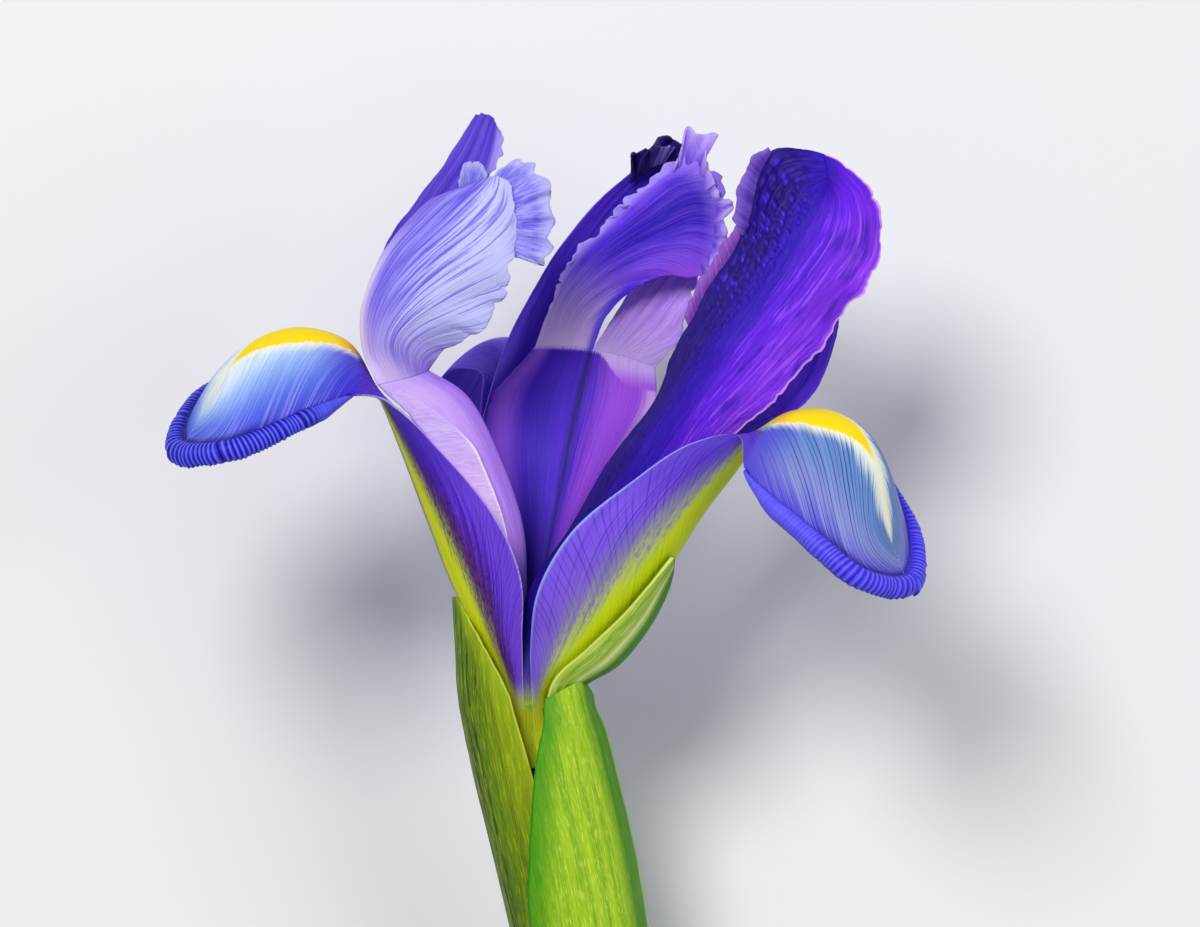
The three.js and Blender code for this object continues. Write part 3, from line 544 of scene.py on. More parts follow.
left_arm = style_arm(
    "style_arm_left_finished",
    [
        [[-1.3, 5, 1.3], [-0.55, 5, 0.3], [-1.2, 5, -0.6]],
        [[-3.0, 12.5, 4.4], [-0.3, 13.5, 1.6], [-4.2, 13.5, -0.8]],
        [[-5.2, 20, 6.6], [-0.7, 21, 3.2], [-7.2, 21, -0.4]],
        [[-9.0, 27.4, 8.0], [-3.4, 29.4, 5.0], [-10.8, 28.6, 1.0]],
        [[-14.2, 34.4, 9.6], [-7.6, 37.4, 6.6], [-14.6, 35.6, 3.2]],
        [[-18.6, 38.8, 11.0], [-12.5, 40.6, 8.0], [-18.2, 40.8, 5.0]],
    ],
    [
        [[-20.4, 43.2, 10.8], [-16.4, 44.2, 12.0], [-10.3, 43.2, 9.4]],
        [[-20.5, 48.4, 10.6], [-14.6, 49.4, 13.2], [-5.0, 46.4, 11.0]],
        [[-18.7, 53.8, 9.8], [-11.9, 54.0, 13.4], [-2.7, 50.6, 11.8]],
        [[-15.6, 58.4, 8.8], [-8.6, 58.2, 12.8], [-1.6, 55.0, 11.8]],
        [[-11.6, 62.0, 7.8], [-5.9, 62.0, 11.6], [-1.2, 59.4, 11.4]],
        [[-7.6, 63.2, 7.4], [-4.6, 64.6, 10.2], [-2.5, 63.9, 10.6]],
    ],
    [
        [[-12.6, 45.6, 7.0], [-17.2, 46.2, 6.2], [-20.0, 45.4, 5.6]],
        [[-11.0, 51.4, 6.0], [-16.0, 51.8, 5.4], [-19.3, 50.6, 4.8]],
        [[-8.6, 56.4, 5.4], [-13.6, 57.0, 4.8], [-17.4, 56.8, 4.2]],
        [[-6.2, 61.2, 5.0], [-10.4, 62.0, 4.2], [-13.9, 61.8, 3.6]],
        [[-4.2, 65.2, 4.6], [-7.0, 66.8, 3.8], [-9.9, 67.2, 3.2]],
        [[-3.4, 70.8, 4.0], [-4.6, 72.4, 3.4], [-6.2, 73.0, 2.8]],
    ],
    seed=1,
    near_edge=((0.12, 0.7, 0.3), (0.06, 0.4), 1.15),
    far_edge=((1.3, 0.1, 1.2), (0.4, 0.05), 0.25),
    frills=[
        (
            [[-3.0, 54.8, 11.3], [-2.9, 57.4, 11.4], [-2.7, 60.2, 11.0], [-3.4, 62.6, 10.2], [-5.0, 63.4, 9.8]],
            [[-0.6, 54.8, 11.0], [2.1, 53.7, 10.6], [3.0, 55.6, 10.4], [2.5, 57.4, 10.4], [3.2, 59.4, 10.2],
             [2.4, 61.8, 10.0], [2.7, 63.6, 9.8], [1.0, 65.0, 9.6], [0.6, 66.2, 9.4], [-1.2, 66.6, 9.4],
             [-3.6, 65.6, 9.4]],
            7, 0.34, 0.7,
        ),
        (
            [[-8.4, 61.6, 8.0], [-7.4, 62.8, 8.4], [-6.0, 63.2, 8.9]],
            [[-8.6, 64.4, 8.4], [-7.6, 66.2, 8.6], [-5.9, 66.2, 9.0], [-4.9, 65.0, 9.2]],
            2, 0.16,
        ),
        (
            [[-16.6, 37.6, 10.3], [-14.0, 34.2, 9.7], [-9.6, 28.4, 8.5], [-6.2, 22.0, 7.2], [-3.8, 15.6, 5.4]],
            [[-16.0, 38.2, 10.3], [-11.2, 35.4, 9.5], [-6.6, 31.0, 8.3], [-4.6, 26.4, 7.3], [-3.0, 22.0, 6.3],
             [-2.2, 16.6, 5.0]],
            4, 0.1, 0.14,
        ),
    ],
)
tissue, along, across, lobe, broad, fine = style_tissue("left style arm lilac")
down_margin = tissue.mark("vein")
# Streaked lilac, deeper at the foot, paler towards the near margin and almost white along it.
arm_part = tissue.coats(
    "9A62EC",
    ("C294F6", broad * 0.6 + across.ramp(0.1, -0.6) * 0.4),
    ("7C48E0", along.ramp(0.4, 0.0)),
    ("8A5CE4", fine * 0.3),
    ("D2B2F6", across.ramp(-0.2, -0.75) * along.ramp(0.55, 0.85) * 0.85),
    ("F0E4FC", across.ramp(-0.88, -0.99) * along.ramp(0.9, 0.6)),
)
# The arm's margin turned back on itself: pale and pink, and white on its lower rim.
turned_margin = tissue.coats(
    "BC98EE",
    ("E0CAFA", broad * 0.35 + fine * 0.15 + 0.15),
    ("D2B2F6", down_margin.ramp(0.8, 0.1)),
    ("F0C8F4", down_margin.ramp(0.9, 1.8) * 0.4),
    ("FFFAFF", along.ramp(2.9, 3.0) * down_margin.ramp(0.7, 1.3)),
)
# Blue lilac pleats with dark creases, a contour that is light below and dark above, and a violet foot.
contour = (across - broad * 0.06).ramp(-0.86, -1.0)
near_part = tissue.coats(
    "5240D2",
    ("B0A6F6", broad * 0.35 + fine * 0.65),
    ("D2D5FE", (across + fine * 0.5 - 0.2).ramp(-0.75, -0.15) * 0.7),
    ("5040D0", (fine - broad * 0.2).ramp(0.34, 0.02) * 0.5),
    ("6A58E4", (across - 0.1 + broad * 0.2).ramp(-0.35, -0.7) * 0.4),
    ("F2E2FE", contour * along.ramp(1.75, 1.4) * 0.7),
    ("8068E8", contour * along.ramp(1.5, 1.8) * 0.6),
    ("8A5CE8", (along + fine * 0.1).ramp(1.4, 1.0) * across.ramp(-0.8, -0.3) * 0.7),
    ("E8D2FC", along.ramp(1.35, 1.0) * across.ramp(-0.45, -0.8) * 0.8),
)
far_part = tissue.coats(
    "3C22BE",
    ("7458DC", broad * 0.45 + fine * 0.5),
    ("B6ACF4", across.ramp(0.22, 0.02) * 0.7),
)
frill_part = tissue.coats(
    "5448D6",
    ("B0ACF8", broad * 0.4 + fine * 0.6),
    ("D2D0FC", along.ramp(2.6, 3.0) * 0.55),
)
crest_part = tissue.coats(near_part, (far_part, lobe.ramp(-0.5, 0.5)), (frill_part, lobe.ramp(1.5, 2.5)))
base = tissue.coats(arm_part, (crest_part, along.ramp(0.9, 1.12)), (turned_margin, lobe.ramp(4.4, 4.8)))
tissue.use(left_arm, base, bump=broad * 0.5 + fine * 0.5, depth=0.0001)
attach(left_arm, "root")
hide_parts("style_arm_left")

back_arm = style_arm(
    "style_arm_back_finished",
    [
        [[-0.9, 5, -1.9], [0.0, 5, -1.0], [0.9, 5, -1.9]],
        [[-1.8, 13, -4.2], [1.5, 13, -2.6], [3.0, 13, -4.4]],
        [[-3.4, 22, -7.0], [3.4, 22, -4.8], [6.4, 21.5, -6.8]],
        [[-5.4, 31, -9.4], [5.4, 31.4, -7.2], [12.0, 30.5, -9.0]],
        [[-4.6, 37, -10.8], [6.8, 37.6, -8.8], [16.0, 36.6, -10.4]],
        [[0.9, 43.8, -11.8], [8.1, 43.4, -10.2], [15.9, 41.2, -11.4]],
    ],
    [
        [[2.5, 48.4, -12.0], [5.6, 48.6, -11.4], [9.7, 47.4, -10.6]],
        [[4.3, 53.2, -11.2], [8.8, 52.8, -10.0], [12.4, 50.4, -9.8]],
        [[7.4, 57.2, -10.4], [12.4, 56.0, -8.8], [15.2, 52.1, -9.2]],
        [[11.2, 61.0, -9.6], [16.6, 58.8, -8.0], [17.8, 52.7, -8.8]],
        [[15.4, 65.0, -9.0], [20.8, 61.4, -7.6], [20.4, 52.4, -8.4]],
        [[19.8, 68.2, -8.6], [25.0, 61.6, -7.6], [23.0, 53.2, -8.2]],
    ],
    [
        [[10.1, 46.6, -12.4], [14.2, 46.0, -12.6], [18.6, 44.2, -12.0]],
        [[12.1, 49.8, -13.4], [16.4, 50.0, -13.4], [20.1, 48.4, -12.6]],
        [[14.2, 53.2, -13.2], [18.4, 53.6, -13.4], [21.2, 52.4, -12.8]],
        [[16.2, 56.6, -12.8], [20.0, 57.2, -13.2], [22.2, 56.0, -12.8]],
    ],
    seed=2,
    near_edge=((0.95, 0.06, 1.7), (0.5, 0.1), 0.5),
    far_edge=((0.1, 0.6, 0.6), (0.1, 0.3), 0.4),
    frills=[
        (
            [[18.0, 65.2, -8.8], [19.6, 65.6, -8.6], [21.0, 64.8, -8.4], [21.8, 62.8, -8.2]],
            [[18.6, 66.8, -7.9], [19.2, 68.4, -7.8], [20.0, 71.2, -7.6], [21.4, 70.3, -7.5],
             [23.7, 70.2, -7.3], [22.4, 68.6, -7.4], [22.6, 66.4, -7.3], [23.6, 64.2, -7.4]],
            5, 0.3, 0.4,
        ),
        (
            [[22.4, 63.2, -8.0], [23.0, 60.6, -7.8], [23.2, 57.6, -7.8], [22.6, 55.2, -8.0]],
            [[23.6, 64.0, -7.2], [24.2, 62.4, -7.0], [25.9, 61.8, -6.8], [24.6, 59.6, -6.8],
             [24.9, 57.6, -6.8], [24.6, 55.8, -6.9], [22.8, 53.6, -7.2]],
            6, 0.32,
        ),
        (
            [[21.6, 54.2, -8.0], [22.0, 52.8, -8.0], [21.4, 51.8, -8.0]],
            [[23.0, 53.4, -7.4], [22.6, 51.4, -7.2], [20.8, 49.8, -7.4]],
            2, 0.3,
        ),
    ],
)
tissue, along, across, lobe, broad, fine = style_tissue("back style arm violet")
# Deep violet with a purple flank, a dark keel line and crease, painted shade over the foot between the hafts
# and a pink far margin.
arm_part = tissue.coats(
    "380AB0",
    ("541CD0", broad * 0.5 + fine * 0.4),
    ("B45CF4", (across + fine * 0.1).ramp(0.02, 0.5) * across.ramp(1.1, 0.8) * 0.8),
    ("A868E8", (abs(across + 0.85) + fine * 0.05).ramp(0.28, 0.02) * 0.6),
    ("1A0872", abs(across + 0.03 + broad * 0.01).ramp(0.08, 0.0) * 0.85),
    ("2C0CA0", abs(across + 0.5).ramp(0.3, 0.0) * 0.5),
    # Painted shade over the foot, which stands deep between the hafts.
    ("1E0A70", along.ramp(0.5, 0.12) * 0.8),
    ("E0B0F4", (across + fine * 0.06).ramp(0.76, 0.98) * along.ramp(0.4, 0.6)),
)
# A dark heart between paler sides, with a pale margin, a pale foot and a pale top.
heart = (abs(across + 0.68 - along * 0.05) + broad * 0.08).ramp(0.4, 0.04) * along.ramp(1.25, 1.6)
near_part = tissue.coats(
    "3A14D0",
    ("8A58F6", broad * 0.45 + fine * 0.45),
    ("8C58F2", across.ramp(-0.45, -0.1) * 0.6),
    ("1A00A8", heart * (1.0 - fine * 0.3)),
    ("24089C", fine.ramp(0.25, 0.0) * 0.25),
    ("B6A2FC", (across + fine * 0.04).ramp(-0.84, -0.98) * 0.85),
    ("A050E8", across.ramp(-0.2, 0.0) * along.ramp(1.3, 1.5) * 0.7),
    ("E2C4FF", (along + fine * 0.16).ramp(1.5, 1.08)),
    ("4A1CE8", (across + fine * 0.03).ramp(-0.16, -0.02) * along.ramp(1.75, 1.3) * 0.85),
    ("A884F4", along.ramp(1.85, 2.0) * 0.7),
)
far_part = tissue.coats(
    "AC78F4",
    ("DDB4FF", broad * 0.5 + fine * 0.5),
    ("E2C2FF", (along + fine * 0.1).ramp(1.5, 1.02) * 0.7),
    ("B460EC", along.ramp(0.98, 0.86)),
)
frill_part = tissue.mix("6A3CE4", "CAB0FC", broad * 0.3 + along.ramp(2.2, 3.0) * 0.7)
far_half = (across + lobe * 0.5).ramp(-0.03, 0.03)
crest_part = tissue.coats(near_part, (far_part, far_half), (frill_part, lobe.ramp(1.5, 2.5)))
boundary = along + across.ramp(0.06, 0.6) * 0.13 + fine * 0.012
base = tissue.mix(arm_part, crest_part, boundary.ramp(0.988, 1.008))
relief = (broad * 0.5 + fine * 0.5) * (along.ramp(0.9, 1.1) * 0.65 + 0.35)
tissue.use(back_arm, base, bump=relief, depth=0.00012)
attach(back_arm, "root")
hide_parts("style_arm_back")

right_arm = style_arm(
    "style_arm_right_finished",
    [
        [[1.3, 5, 1.0], [0.6, 5, 0.2], [1.3, 5, -0.7]],
        [[4.4, 12, 2.4], [2.9, 13, 0.8], [4.4, 13, -1.0]],
        [[9.6, 18.5, 3.6], [7.4, 20.5, 1.6], [9.0, 20.5, -1.4]],
        [[15.6, 24.4, 4.4], [13.2, 27.0, 2.2], [14.4, 26.5, -1.2]],
        [[22.2, 30.4, 4.6], [19.6, 33.0, 2.6], [21.2, 32.0, -0.8]],
        [[31.6, 34.4, 3.4], [25.8, 38.0, 2.8], [28.8, 37.2, -0.8]],
    ],
    [
        [[35.4, 37.4, 2.6], [31.0, 40.6, 3.0], [27.2, 41.8, 2.0]],
        [[38.0, 43.0, 2.2], [33.0, 45.6, 2.4], [28.2, 47.0, 1.2]],
        [[38.8, 48.8, 1.4], [33.6, 51.0, 1.6], [29.2, 52.0, 0.2]],
        [[35.4, 56.4, 0.2], [33.4, 56.8, 0.6], [30.6, 57.2, -0.4]],
    ],
    [
        [[26.6, 42.6, -1.6], [29.6, 41.8, -3.0], [32.4, 40.0, -3.0]],
        [[27.2, 47.6, -3.2], [30.6, 47.0, -4.0], [33.4, 46.0, -3.8]],
        [[28.0, 52.6, -4.0], [31.4, 52.4, -4.6], [33.6, 51.4, -4.4]],
        [[29.4, 57.0, -4.2], [31.6, 57.0, -4.6], [33.2, 56.4, -4.4]],
    ],
    seed=3,
    near_edge=((0.08, 0.5, 0.4), (0.1, 0.3), 0.4),
    far_edge=((0.4, 0.1, 0.4), (0.3, 0.1), 0.4),
    rows=(90, 90, 80),
)
tissue, along, across, lobe, broad, fine = style_tissue("right style arm violet")
arm_part = tissue.mix("5A30D4", "8A6CE8", broad * 0.5 + fine * 0.4)
crest_part = tissue.mix("3A14B8", "6A34E4", broad * 0.5 + fine * 0.4)
base = tissue.mix(arm_part, crest_part, along.ramp(0.9, 1.1))
tissue.use(right_arm, base, bump=broad * 0.5 + fine * 0.5, depth=0.0001)
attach(right_arm, "root")
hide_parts("style_arm_right")


# Standards: the three inner petals, deep violet. A slim claw grows from the tube and widens into an
# upright blade with a waved, finely torn margin and raised veins.

STANDARD_WALL = 0.28


def blistered(right, up, pitch, seed):
    """Small round blisters, from 0 to 1, one in each cell of that pitch and never quite in its middle."""
    chance = np.random.default_rng(seed)
    shifts = chance.uniform(-0.3, 0.3, (64, 64, 2))
    sizes = chance.uniform(0.35, 1, (64, 64))
    cell_right, cell_up = np.floor(right / pitch).astype(int), np.floor(up / pitch).astype(int)
    height = np.zeros(right.shape)
    for step_right in (-1, 0, 1):
        for step_up in (-1, 0, 1):
            there = (cell_right + step_right) % 64, (cell_up + step_up) % 64
            away_right = right / pitch - cell_right - step_right - 0.5 - shifts[there][..., 0]
            away_up = (up / pitch - cell_up - step_up - 0.5 - shifts[there][..., 1]) * 0.8
            height = np.maximum(height, sizes[there] * np.exp(-7 * (away_right ** 2 + away_up ** 2)))
    return height


def standard(name, stations, rows, columns, seed, torn, wave, blisters=0, frills=()):
    """A standard from stations. Torn and wave are how deep its first and last margins are torn and waved."""
    petal = Petal(stations, True)
    along = np.linspace(0, 1, rows)
    spread = np.linspace(-1, 1, columns)
    across = np.sign(spread) * (1 - (1 - np.abs(spread)) ** 1.3)
    points = petal.points(along, across)
    reach = swell(along, 0.3, 0.7)[:, None]
    tip_fade = 1 - along[:, None] ** 14
    for side, depth, waving in ((-1, torn[0], wave[0]), (1, torn[1], wave[1])):
        margin, outward, normal = petal.edge(np.minimum(along, 0.985), side)
        gone = travelled(margin)
        here = np.clip(across * side, 0, 1)[None, :]
        teeth = torn_edge(gone, seed + side, depth)[:, None]
        bend = (np.sin(gone * 0.62 + seed) * 0.6 + ragged(gone, 1.7, seed + 9 + side) * 0.5)[:, None]
        points += outward[:, None] * (teeth * here ** 10 * reach * tip_fade)[..., None]
        points += normal[:, None] * (waving * bend * here ** 4 * reach * tip_fade)[..., None]
    facing = unit(np.cross(np.gradient(points, axis=0), np.gradient(points, axis=1)))
    length = travelled(points[:, columns // 2])[:, None]
    vein = across[None, :] * (1.15 - 0.45 * along[:, None])
    wander = ragged(length[:, 0], 7, seed + 2)[:, None] * 0.5
    ridges = np.sin(vein * 21 + wander) * 0.02 + np.sin(vein * 47 + wander * 2) * 0.012
    points += facing * (ridges * reach * (1 - np.abs(across[None, :]) ** 4))[..., None]
    there = swell(along, 0.48, 0.72)[:, None] * swell(-across, -0.1, 0.3)[None, :]
    there = there * swell(across, -1.02, -0.88)[None, :] * tip_fade
    blister = blistered(across[None, :] * 8 + length * 0.12, length + across[None, :] * 3, 1.15, seed) * there
    points += facing * (blister * blisters)[..., None]
    keel = smooth_curve(petal.middle, along)
    right = (points[..., 0] - np.interp(points[..., 1], keel[:, 1], keel[:, 0])) / 8
    grids = [(points, {
        "along": along[:, None], "across": across[None, :], "vein": vein, "length": length,
        "right": right, "blister": blister, "frill": 0.0})]
    for number, (base, outline, pleats, depth) in enumerate(frills):
        extra, up, share = frill(base, outline, seed + number, pleats, depth)
        grids.append((extra, {
            "along": share[None, :], "across": 0.0, "vein": up[:, None] * 1.5, "length": 0.0,
            "right": -1.0, "blister": 0.0, "frill": 1.0 + number}))
    return grown_piece(name, grids, STANDARD_WALL)


def standard_tissue(name):
    """Petal tissue with broad and fine streaks along a standard's veins."""
    tissue = PetalTissue(name)
    vein, length = tissue.marks("vein", "length")
    broad = tissue.streaks(vein * 7, length, 1.0, 0.06, 3)
    fine = tissue.streaks(vein * 26 + broad * 0.6, length, 4.0, 0.12, 4)
    return tissue, broad, fine


front_standard = standard(
    "standard_front_finished",
    [
        [[-1.4, -9, 2.5], [0.6, -9, 2.8], [2.6, -9, 2.5]],
        [[-1.5, 0, 1.9], [0, 0, 2.4], [1.5, 0, 1.9]],
        [[-1.6, 7, 2.7], [0.4, 7.5, 3.0], [2.2, 7.5, 2.9]],
        [[0.6, 14, 4.0], [3.4, 13.6, 4.8], [6.4, 13, 4.8]],
        [[5.4, 21.2, 5.0], [8.6, 19.6, 6.4], [12.2, 18, 6.2]],
        [[10.2, 29.5, 5.0], [14.2, 27.4, 7.2], [19.0, 25.0, 7.4]],
        [[15.6, 36.4, 4.6], [19.4, 35.6, 7.6], [25.2, 32.2, 7.8]],
        [[19.2, 45.1, 3.6], [24.2, 42.8, 7.8], [30.6, 37.0, 7.0]],
        [[23.2, 51.6, 2.4], [28.4, 48.6, 7.4], [35.6, 42.4, 6.0]],
        [[26.8, 58.0, 1.2], [32.2, 54.0, 6.8], [40.2, 48.8, 4.8]],
        [[27.8, 64.0, 0.4], [35.0, 58.8, 6.0], [44.2, 55.6, 3.6]],
        [[30.6, 68.0, 1.0], [36.6, 61.8, 5.4], [42.4, 63.4, 3.0]],
        [[37.0, 67.6, 2.4], [37.4, 64.2, 4.4], [37.0, 67.6, 2.4]],
    ],
    rows=420, columns=93, seed=4, torn=(0.25, 0.6), wave=(0.3, 0.55), blisters=0.5,
    frills=[
        (
            [[30.4, 67.9, 1.2], [29.0, 65.4, 1.4], [28.2, 62.2, 1.6], [27.7, 59.0, 1.8], [27.4, 57.6, 1.6]],
            [[30.0, 68.6, 1.6], [28.0, 67.2, 2.2], [26.9, 65.0, 2.4], [26.0, 62.2, 2.5],
             [25.8, 59.8, 2.4], [26.6, 57.6, 2.0]],
            3, 0.3,
        ),
        (
            [[27.4, 57.4, 0.8], [25.8, 54.6, 0.8], [23.8, 51.4, 1.0], [21.6, 48.4, 1.2], [20.2, 45.8, 1.6]],
            [[27.0, 59.2, -0.2], [24.8, 57.2, -0.6], [23.4, 54.4, -0.8], [21.2, 51.4, -0.6], [19.6, 47.4, 0.6]],
            5, 0.3,
        ),
    ],
)
tissue, broad, fine = standard_tissue("front standard violet")
right, along, across, frilled = tissue.marks("right", "along", "across", "frill")
blister, vein, length = tissue.marks("blister", "vein", "length")
beside = right + broad * 0.12
patches = tissue.noise(tissue.point(vein * 6, length * 0.16, 31), 3, 0.6)
pit_shade_noise = tissue.noise(tissue.point(vein * 34, length * 0.9, 7), 3, 0.65)
flap_part = tissue.mix("4E2AA8", "9474DC", broad * 0.4 + along.ramp(0.3, 1.0) * 0.5)
strip_part = tissue.mix("5A20A0", "B474DC", along.ramp(0.3, 1.0) * 0.5 + fine * 0.4)
# Painted shade makes it blue black left of the keel and painted light bright violet right of it, with
# dark streaks and patches, light streaks on the lit side, painted shade over the lower part between the
# hafts, a greenish yellow claw, painted shade in the pits, painted highlights on the blisters and a pink
# margin, then the turned margin.
base = tissue.coats(
    # Painted shade: blue black left of the keel, deepest far from it.
    "1A0670",
    ("2E0CB0", beside.ramp(-0.5, -0.02)),
    # Painted light: bright violet right of the keel, brighter towards the far margin.
    ("6818EA", beside.ramp(0.0, 0.45)),
    ("9A3CF4", (beside - 0.55 + fine * 0.25).ramp(0.0, 0.6) * 0.55),
    ("3A0CB0", fine.ramp(0.25, 0.8) * 0.38),
    ("3810B4", patches.ramp(0.5, 0.66) * beside.ramp(0.25, 0.6) * 0.7),
    # Light streaks, only on the half with painted light.
    ("B468FC", fine.ramp(0.4, 0.05) * beside.ramp(0.1, 0.5) * 0.4),
    # Painted shade over the lower part, which stands between the hafts.
    ("2A0C9C", along.ramp(0.36, 0.16) * 0.7),
    ("6A5CC4", along.ramp(0.17, 0.1) * 0.7),
    ("C8D428", (along + fine * 0.02).ramp(0.12, 0.07)),
    # Painted shade in the pits between the blisters, on the shaded half.
    ("0E0348", pit_shade_noise.ramp(0.5, 0.36) * beside.ramp(0.1, -0.35) * along.ramp(0.3, 0.5) * 0.6),
    # Painted highlights on the blisters' tops.
    ("4A24DC", blister.ramp(0.2, 0.65) * 0.7),
    ("9A7CF4", blister.ramp(0.62, 0.9) * pit_shade_noise.ramp(0.4, 0.6) * 0.6),
    ("D49CF0", (across + fine * 0.02).ramp(0.975, 1.0) * along.ramp(0.35, 0.5)),
    (flap_part, frilled.ramp(0.3, 0.7)),
    (strip_part, frilled.ramp(1.3, 1.7)),
)
tissue.use(front_standard, base, bump=broad * 0.4 + fine * 0.6, depth=0.00016)
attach(front_standard, "root")
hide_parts("standard_front")

back_left_standard = standard(
    "standard_back_left_finished",
    [
        [[-1.25, 0, -0.15], [-0.95, 0, -0.6], [-0.55, 0, -1.0]],
        [[-4.0, 8, -2.0], [-3.2, 8, -2.7], [-2.2, 8, -3.0]],
        [[-6.3, 16, -4.2], [-4.8, 16, -5.4], [-3.0, 16, -5.8]],
        [[-7.2, 24, -8.0], [-4.0, 24, -9.4], [-0.5, 24, -9.6]],
        [[-6.9, 30.4, -11.4], [-2.4, 31, -12.6], [2.0, 31, -12.4]],
        [[-5.3, 36.4, -13.2], [-0.5, 37, -14.6], [4.4, 37, -14.2]],
        [[-3.2, 43.2, -14.0], [2.4, 43.4, -15.6], [7.6, 43.4, -15.2]],
        [[0.3, 50.4, -14.4], [5.0, 50.2, -16.0], [9.4, 50, -15.6]],
        [[5.2, 58.0, -14.2], [9.6, 57, -15.6], [13.6, 55.6, -15.2]],
        [[10.4, 63.6, -13.4], [13.4, 62, -14.4], [17.6, 60.6, -14.2]],
        [[17.4, 68.2, -12.6], [15.8, 65.6, -13.4], [17.4, 68.2, -12.6]],
    ],
    rows=300, columns=45, seed=5, torn=(0.03, 0.2), wave=(0.12, 0.2),
    frills=[
        (
            [[12.8, 64.4, -12.8], [14.4, 65.4, -12.4], [16.4, 66.4, -12.0], [18.6, 66.2, -11.6]],
            [[13.0, 66.0, -11.4], [13.2, 68.4, -11.0], [15.0, 68.4, -10.8], [16.6, 70.0, -10.6],
             [18.8, 69.8, -10.4], [19.8, 67.6, -10.4]],
            4, 0.8,
        ),
        (
            [[13.6, 65.6, -11.6], [15.4, 66.4, -11.2], [17.2, 67.0, -10.8]],
            [[14.2, 67.6, -9.8], [16.2, 68.8, -9.4], [18.4, 68.8, -9.2]],
            3, 0.6,
        ),
    ],
)
tissue, broad, fine = standard_tissue("back left standard violet")
along, across, frilled, vein = tissue.marks("along", "across", "frill", "vein")
curled_tip = tissue.mix("0C0438", "3A2090", broad * 0.7)
curled_end = tissue.mix("2A1268", "9078D8", broad * 0.6 + fine * 0.4)
base = tissue.coats(
    "3A12B0",
    ("6A40E6", broad * 0.6 + fine * 0.4),
    # Painted highlight along the first margin, below the tip.
    ("7E5CEE", across.ramp(-0.4, -0.9) * along.ramp(0.78, 0.5) * 0.7),
    ("2A0E94", along.ramp(0.8, 0.98) * 0.6),
    (curled_tip, frilled.ramp(0.3, 0.7)),
    (curled_end, frilled.ramp(1.3, 1.7) * vein.ramp(0.6, 0.95)),
)
tissue.use(back_left_standard, base, bump=broad * 0.4 + fine * 0.6, depth=0.00012)
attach(back_left_standard, "root")
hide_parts("standard_back_left")

back_right_standard = standard(
    "standard_back_right_finished",
    [
        [[0.55, 0, -1.0], [0.95, 0, -0.6], [1.25, 0, -0.15]],
        [[2.2, 8, -3.3], [3.4, 8, -3.2], [4.4, 8, -2.9]],
        [[6.0, 17, -6.6], [8.0, 17, -6.4], [10.0, 16, -6.0]],
        [[12.4, 27, -8.6], [14.6, 26.6, -8.8], [17.4, 25, -8.0]],
        [[18.8, 37, -8.6], [21.6, 36.6, -9.6], [25.6, 34, -8.6]],
        [[23.0, 47, -8.0], [27.2, 46, -9.8], [32.4, 42.6, -8.6]],
        [[26.6, 56, -7.4], [31.4, 54.4, -9.4], [38.0, 51.4, -8.0]],
        [[32.8, 64, -6.8], [32.6, 60.4, -8.2], [32.8, 64, -6.8]],
    ],
    rows=190, columns=37, seed=6, torn=(0.2, 0.3), wave=(0.3, 0.4),
)
tissue, broad, fine = standard_tissue("back right standard violet")
along, across = tissue.marks("along", "across")
base = tissue.coats(
    "3210A8",
    ("5A26DC", broad * 0.6 + fine * 0.4),
    ("8A5CE8", abs(across).ramp(0.96, 1.0) * along.ramp(0.4, 0.6)),
)
tissue.use(back_right_standard, base, bump=broad * 0.4 + fine * 0.6, depth=0.00012)
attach(back_right_standard, "root")
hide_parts("standard_back_right")


# Falls: the three outer petals. A channelled haft rises from the tube and bends over, and the blade hangs
# from the bend with a yellow signal along its ridge. Its margin is gathered into a ribbed, rolled rim.

FALL_WALL = 0.28
FALL_COLUMNS = 45
HAFT_ROWS = 0.2
RIM_COLUMNS = 11
RIM_ROLL = math.radians(172)
RIB_PITCH = 0.58


